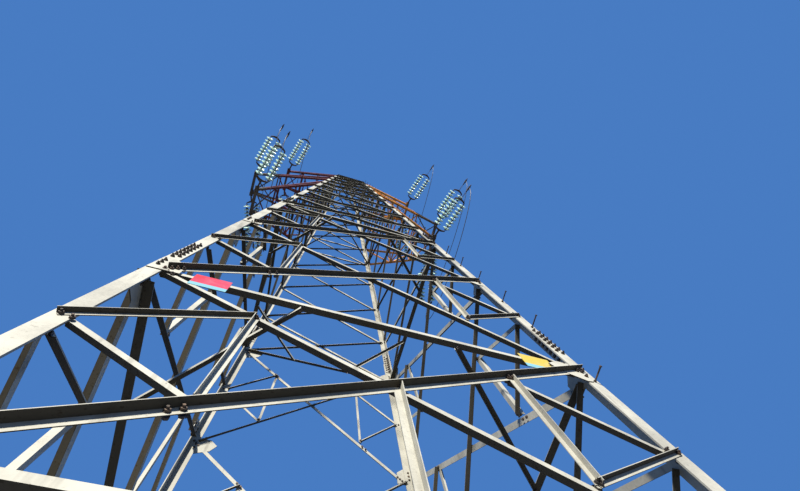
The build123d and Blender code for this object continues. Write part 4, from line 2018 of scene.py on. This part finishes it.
    def fittings(self) -> Shape:
        """Links, yokes, tongues and strain clamps of both spans.

        Returns:
            The shape.
        """
        shape = Shape()
        last = self.first_disc + self.disc_count * self.pitch
        for span in Span:
            pull = self.pull(span)
            far = moved(pull, (0.0, 0.0, self.far_yoke))
            self.shackle(shape, self.foot(span))
            self.near_yoke.cut(shape, pull, 1)
            self.near_yoke.cut(shape, far, -1)
            for near, tail in zip(self.rows(span, 0.0), self.rows(span, last)):
                shape.turned(self.near_link, near, 8)
                shape.turned(self.far_link, tail, 8)
            self.clamp.strap(shape, far)
            self.clamp.grip(shape, far)
        return shape

    def build(self, crew: Crew, glass: bpy.types.Material, iron: bpy.types.Material) -> None:
        """Makes the glass, the caps and the fittings of this tip.

        Args:
            crew: Takes the pieces.
            glass: Finish of the shells.
            iron: Finish of the metal.
        """
        recipe = self.recipe()
        parts = (
            ("glass", self.disc.glass(), glass, self.glass_smooth),
            ("caps", self.disc.iron(), iron, self.cap_smooth),
        )
        for kind, shape, finish, smooth in parts:
            pattern = shape.finish(kind + "_pattern", finish, smooth)
            values = {"Count": self.disc_count, "Pattern": pattern, "Finish": finish}
            piece = recipe.grow(kind + "_" + self.name, self.along(), values)
            bpy.data.objects.remove(pattern)
            crew.hang(piece, ["strings_" + self.name] if kind == "glass" else ())
        crew.hang(self.fittings().finish("fittings_" + self.name, iron))


@dataclass
class Jumpers:
    """The three jumper loops of one side, each from clamp to clamp under its arm."""

    hand: Hand
    strings: Sequence[StringSet]
    radius: float = 0.012
    drop: float = 1.0
    runs: int = 10
    sides: int = 10
    wraps_a_metre: float = 4.0
    smooth: float = 60.0
    order: int = 3
    fineness: int = 6

    def route(self, string: StringSet) -> list[Vector]:
        """Control points of one loop.

        Args:
            string: The tip that it passes under.

        Returns:
            The points, from the front clamp to the back one.
        """
        near, far = string.terminal(Span.FRONT), string.terminal(Span.BACK)
        middle = (near + far) / 2 + DOWN * string.clamp.terminal_length
        points = [near]
        for i in range(self.runs + 1):
            swing = math.pi * i / self.runs
            out = (near - far) * 0.5 * math.cos(swing)
            points.append(middle + out + DOWN * (self.drop * math.sin(swing)))
        points.append(far)
        return points

    def line(self, route: Sequence[Vector]) -> list[Vector]:
        """Points along the smooth line that the control points lead.

        Args:
            route: The control points.

        Returns:
            The points.
        """
        curve = bpy.data.curves.new("jumper_line", "CURVE")
        curve.dimensions = "3D"
        spline = curve.splines.new("NURBS")
        spline.points.add(len(route) - 1)
        for knot, point in zip(spline.points, route):
            knot.co = (*point, 1.0)
        spline.order_u = self.order
        spline.use_endpoint_u = True
        spline.resolution_u = self.fineness
        carrier = stood("jumper_line", curve)
        mesh = evaluated(carrier)
        points = [vertex.co.copy() for vertex in mesh.vertices]
        bpy.data.objects.remove(carrier)
        bpy.data.meshes.remove(mesh)
        return points

    def ring(self, point: Vector, side: Vector, other: Vector) -> list[Vector]:
        """Points round the wire, in the plane of two ways square to each other."""
        angles = (math.tau * k / self.sides for k in range(self.sides))
        return [point + (side * math.cos(a) + other * math.sin(a)) * self.radius for a in angles]

    def build(self, crew: Crew, wire: bpy.types.Material) -> None:
        """Makes the side's loops as one piece with a strand pattern along them.

        Args:
            crew: Takes the piece.
            wire: The wires' finish.
        """
        verts, faces, wraps = [], [], []
        for string in self.strings:
            line = self.line(self.route(string))
            side = Vector((1.0, 0.0, 0.0))
            base, run = len(verts), 0.0
            lengths = []
            for i, point in enumerate(line):
                ahead = (line[min(i + 1, len(line) - 1)] - line[max(i - 1, 0)]).normalized()
                side = (side - ahead * side.dot(ahead)).normalized()
                run += (point - line[i - 1]).length if i else 0.0
                lengths.append(run * self.wraps_a_metre)
                verts += self.ring(point, side, ahead.cross(side))
            for i in range(len(line) - 1):
                row, above = base + i * self.sides, base + (i + 1) * self.sides
                near, far = lengths[i], lengths[i + 1]
                for k in range(self.sides):
                    j = (k + 1) % self.sides
                    low, high = k / self.sides, (k + 1) / self.sides
                    faces.append((row + k, row + j, above + j, above + k))
                    wraps.append(((near, low), (near, high), (far, high), (far, low)))
            last = base + (len(line) - 1) * self.sides
            faces.append(tuple(base + k for k in reversed(range(self.sides))))
            faces.append(tuple(last + k for k in range(self.sides)))
            wraps += [((0.0, 0.0),) * self.sides] * 2
        name = "wires_" + self.hand.name.lower()
        mesh = bpy.data.meshes.new(name)
        mesh.from_pydata(verts, [], faces)
        layer = mesh.uv_layers.new(name="lay")
        for polygon, wrap in zip(mesh.polygons, wraps):
            for loop, pair in zip(polygon.loop_indices, wrap):
                layer.data[loop].uv = pair
        mesh.shade_smooth()
        mesh.set_sharp_from_angle(angle=math.radians(self.smooth))
        mesh.materials.append(wire)
        crew.hang(stood(name, mesh), ["jumpers_" + self.hand.name.lower()])


@dataclass
class Studio:
    """Pale floor, key light, blue surroundings and the photograph's viewpoint."""

    eye: tuple[float, float, float] = (-0.77137, -3.8953, 1.7514)
    right: tuple[float, float, float] = (0.95405, -0.28629, -0.08849)
    down: tuple[float, float, float] = (0.25799, 0.93498, -0.24342)
    ahead: tuple[float, float, float] = (0.15243, 0.20941, 0.96587)
    lens: float = 23.264
    film: float = 36.0
    nearest: float = 0.05
    farthest: float = 400.0
    floor: float = 4.6
    sun_from: tuple[float, float, float] = (-0.38, -0.83, 0.41)
    sun_strength: float = 8.2
    sun_width: float = 4.0
    sun_colour: Colour = (1.0, 0.96, 0.88)
    sky: Colour = (0.065, 0.20, 0.54)
    below: Colour = (0.20, 0.215, 0.235)
    horizon: Point = (-0.6, 0.25)

    def camera(self) -> None:
        """Puts the camera where the photographer stood."""
        data = bpy.data.cameras.new("viewpoint")
        data.sensor_fit = "HORIZONTAL"
        data.sensor_width = self.film
        data.lens = self.lens
        data.clip_start = self.nearest
        data.clip_end = self.farthest
        camera = stood("viewpoint", data)
        axes = Matrix((Vector(self.right), -Vector(self.down), -Vector(self.ahead))).transposed()
        camera.matrix_world = Matrix.Translation(self.eye) @ axes.to_4x4()
        bpy.context.scene.camera = camera

    def key(self) -> None:
        """Hangs the key light at the front left."""
        data = bpy.data.lights.new("key", "SUN")
        data.energy = self.sun_strength
        data.angle = math.radians(self.sun_width)
        data.color = self.sun_colour
        key = stood("key", data)
        key.rotation_mode = "QUATERNION"
        key.rotation_quaternion = Vector(self.sun_from).to_track_quat("Z", "Y")

    def surroundings(self) -> None:
        """Paints the surroundings: blue above, grey below."""
        world = bpy.data.worlds.new("surroundings")
        world.use_nodes = True
        graph = Graph(world.node_tree)
        way = graph.output("ShaderNodeTexCoord", {}, {}, "Generated")
        up = graph.output("ShaderNodeSeparateXYZ", {}, {0: way}, 2)
        low, high = self.horizon
        share = graph.output("ShaderNodeMapRange", {}, {0: up, 1: low, 2: high})
        colours = {0: share, 6: (*self.below, 1.0), 7: (*self.sky, 1.0)}
        blend = graph.output("ShaderNodeMix", {"data_type": "RGBA"}, colours, 2)
        graph.feed(graph.tree.nodes["Background"].inputs["Color"], blend)
        bpy.context.scene.world = world
        bpy.context.scene.view_settings.view_transform = "Standard"

    def build(self, finish: bpy.types.Material) -> None:
        """Sets up the camera and the lights and lays the floor.

        Args:
            finish: The floor's finish.
        """
        self.camera()
        self.key()
        self.surroundings()
        mesh = bpy.data.meshes.new("floor")
        half = self.floor
        corners = [(-half, -half, 0.0), (half, -half, 0.0), (half, half, 0.0), (-half, half, 0.0)]
        mesh.from_pydata(corners, [], [(0, 1, 2, 3)])
        mesh.materials.append(finish)
        floor = stood("floor", mesh)


def dress(nodes: Mapping[str, bpy.types.Object], name: str, finish: bpy.types.Material) -> None:
    """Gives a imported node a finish.

    Args:
        nodes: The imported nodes.
        name: The node's name.
        finish: Its finish.
    """
    node = nodes[name]
    if not node.material_slots:
        node.data.materials.append(finish)
    for slot in node.material_slots:
        slot.material = finish
    log.info("%s: dressed in %s", name, finish.name)


def main() -> None:
    """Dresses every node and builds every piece."""
    logging.basicConfig(level=logging.INFO, format="%(name)s: %(message)s")
    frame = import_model()
    nodes = frame["nodes"]
    zinc = WeatheredZinc().make()
    red = OldPaint("arm_red_paint", (0.085, 0.004, 0.008), (0.14, 0.010, 0.014)).make()
    orange = OldPaint("arm_orange_paint", (0.55, 0.19, 0.015), (0.62, 0.30, 0.04)).make()
    iron = DarkIron().make()
    glass = MintGlass().make()
    wire = StrandedWire().make()
    plates = {
        "circuit_plate_left": Enamel("red_enamel", (0.58, 0.05, 0.07)).make(),
        "circuit_plate_right": Enamel("yellow_enamel", (0.58, 0.42, 0.02)).make(),
    }
    Studio().build(PaleFloor().make())
    concrete = Concrete().make()
    for name in nodes:
        if name.startswith(("leg_", "lattice_", "plan_", "step_", "earth_")):
            dress(nodes, name, zinc)
        elif name.startswith("arm_"):
            dress(nodes, name, red if name.endswith("left") else orange)
        elif name in plates:
            dress(nodes, name, plates[name])
        elif name == "footings":
            dress(nodes, name, concrete)
    crew = Crew()
    Joints().build(crew, iron)
    Steps().build(crew, iron)
    Feet().build(crew, iron, zinc, concrete)
    ArmJoints().build(crew, iron)
    PeakFittings().build(crew, iron)
    for hand in Hand:
        tips = [StringSet(arm, hand) for arm in range(len(LEVELS.arms))]
        for tip in tips:
            tip.build(crew, glass, iron)
        Jumpers(hand, tips).build(crew, wire)
    log.info("%d pieces", crew.count)


if __name__ == "__main__":
    main()
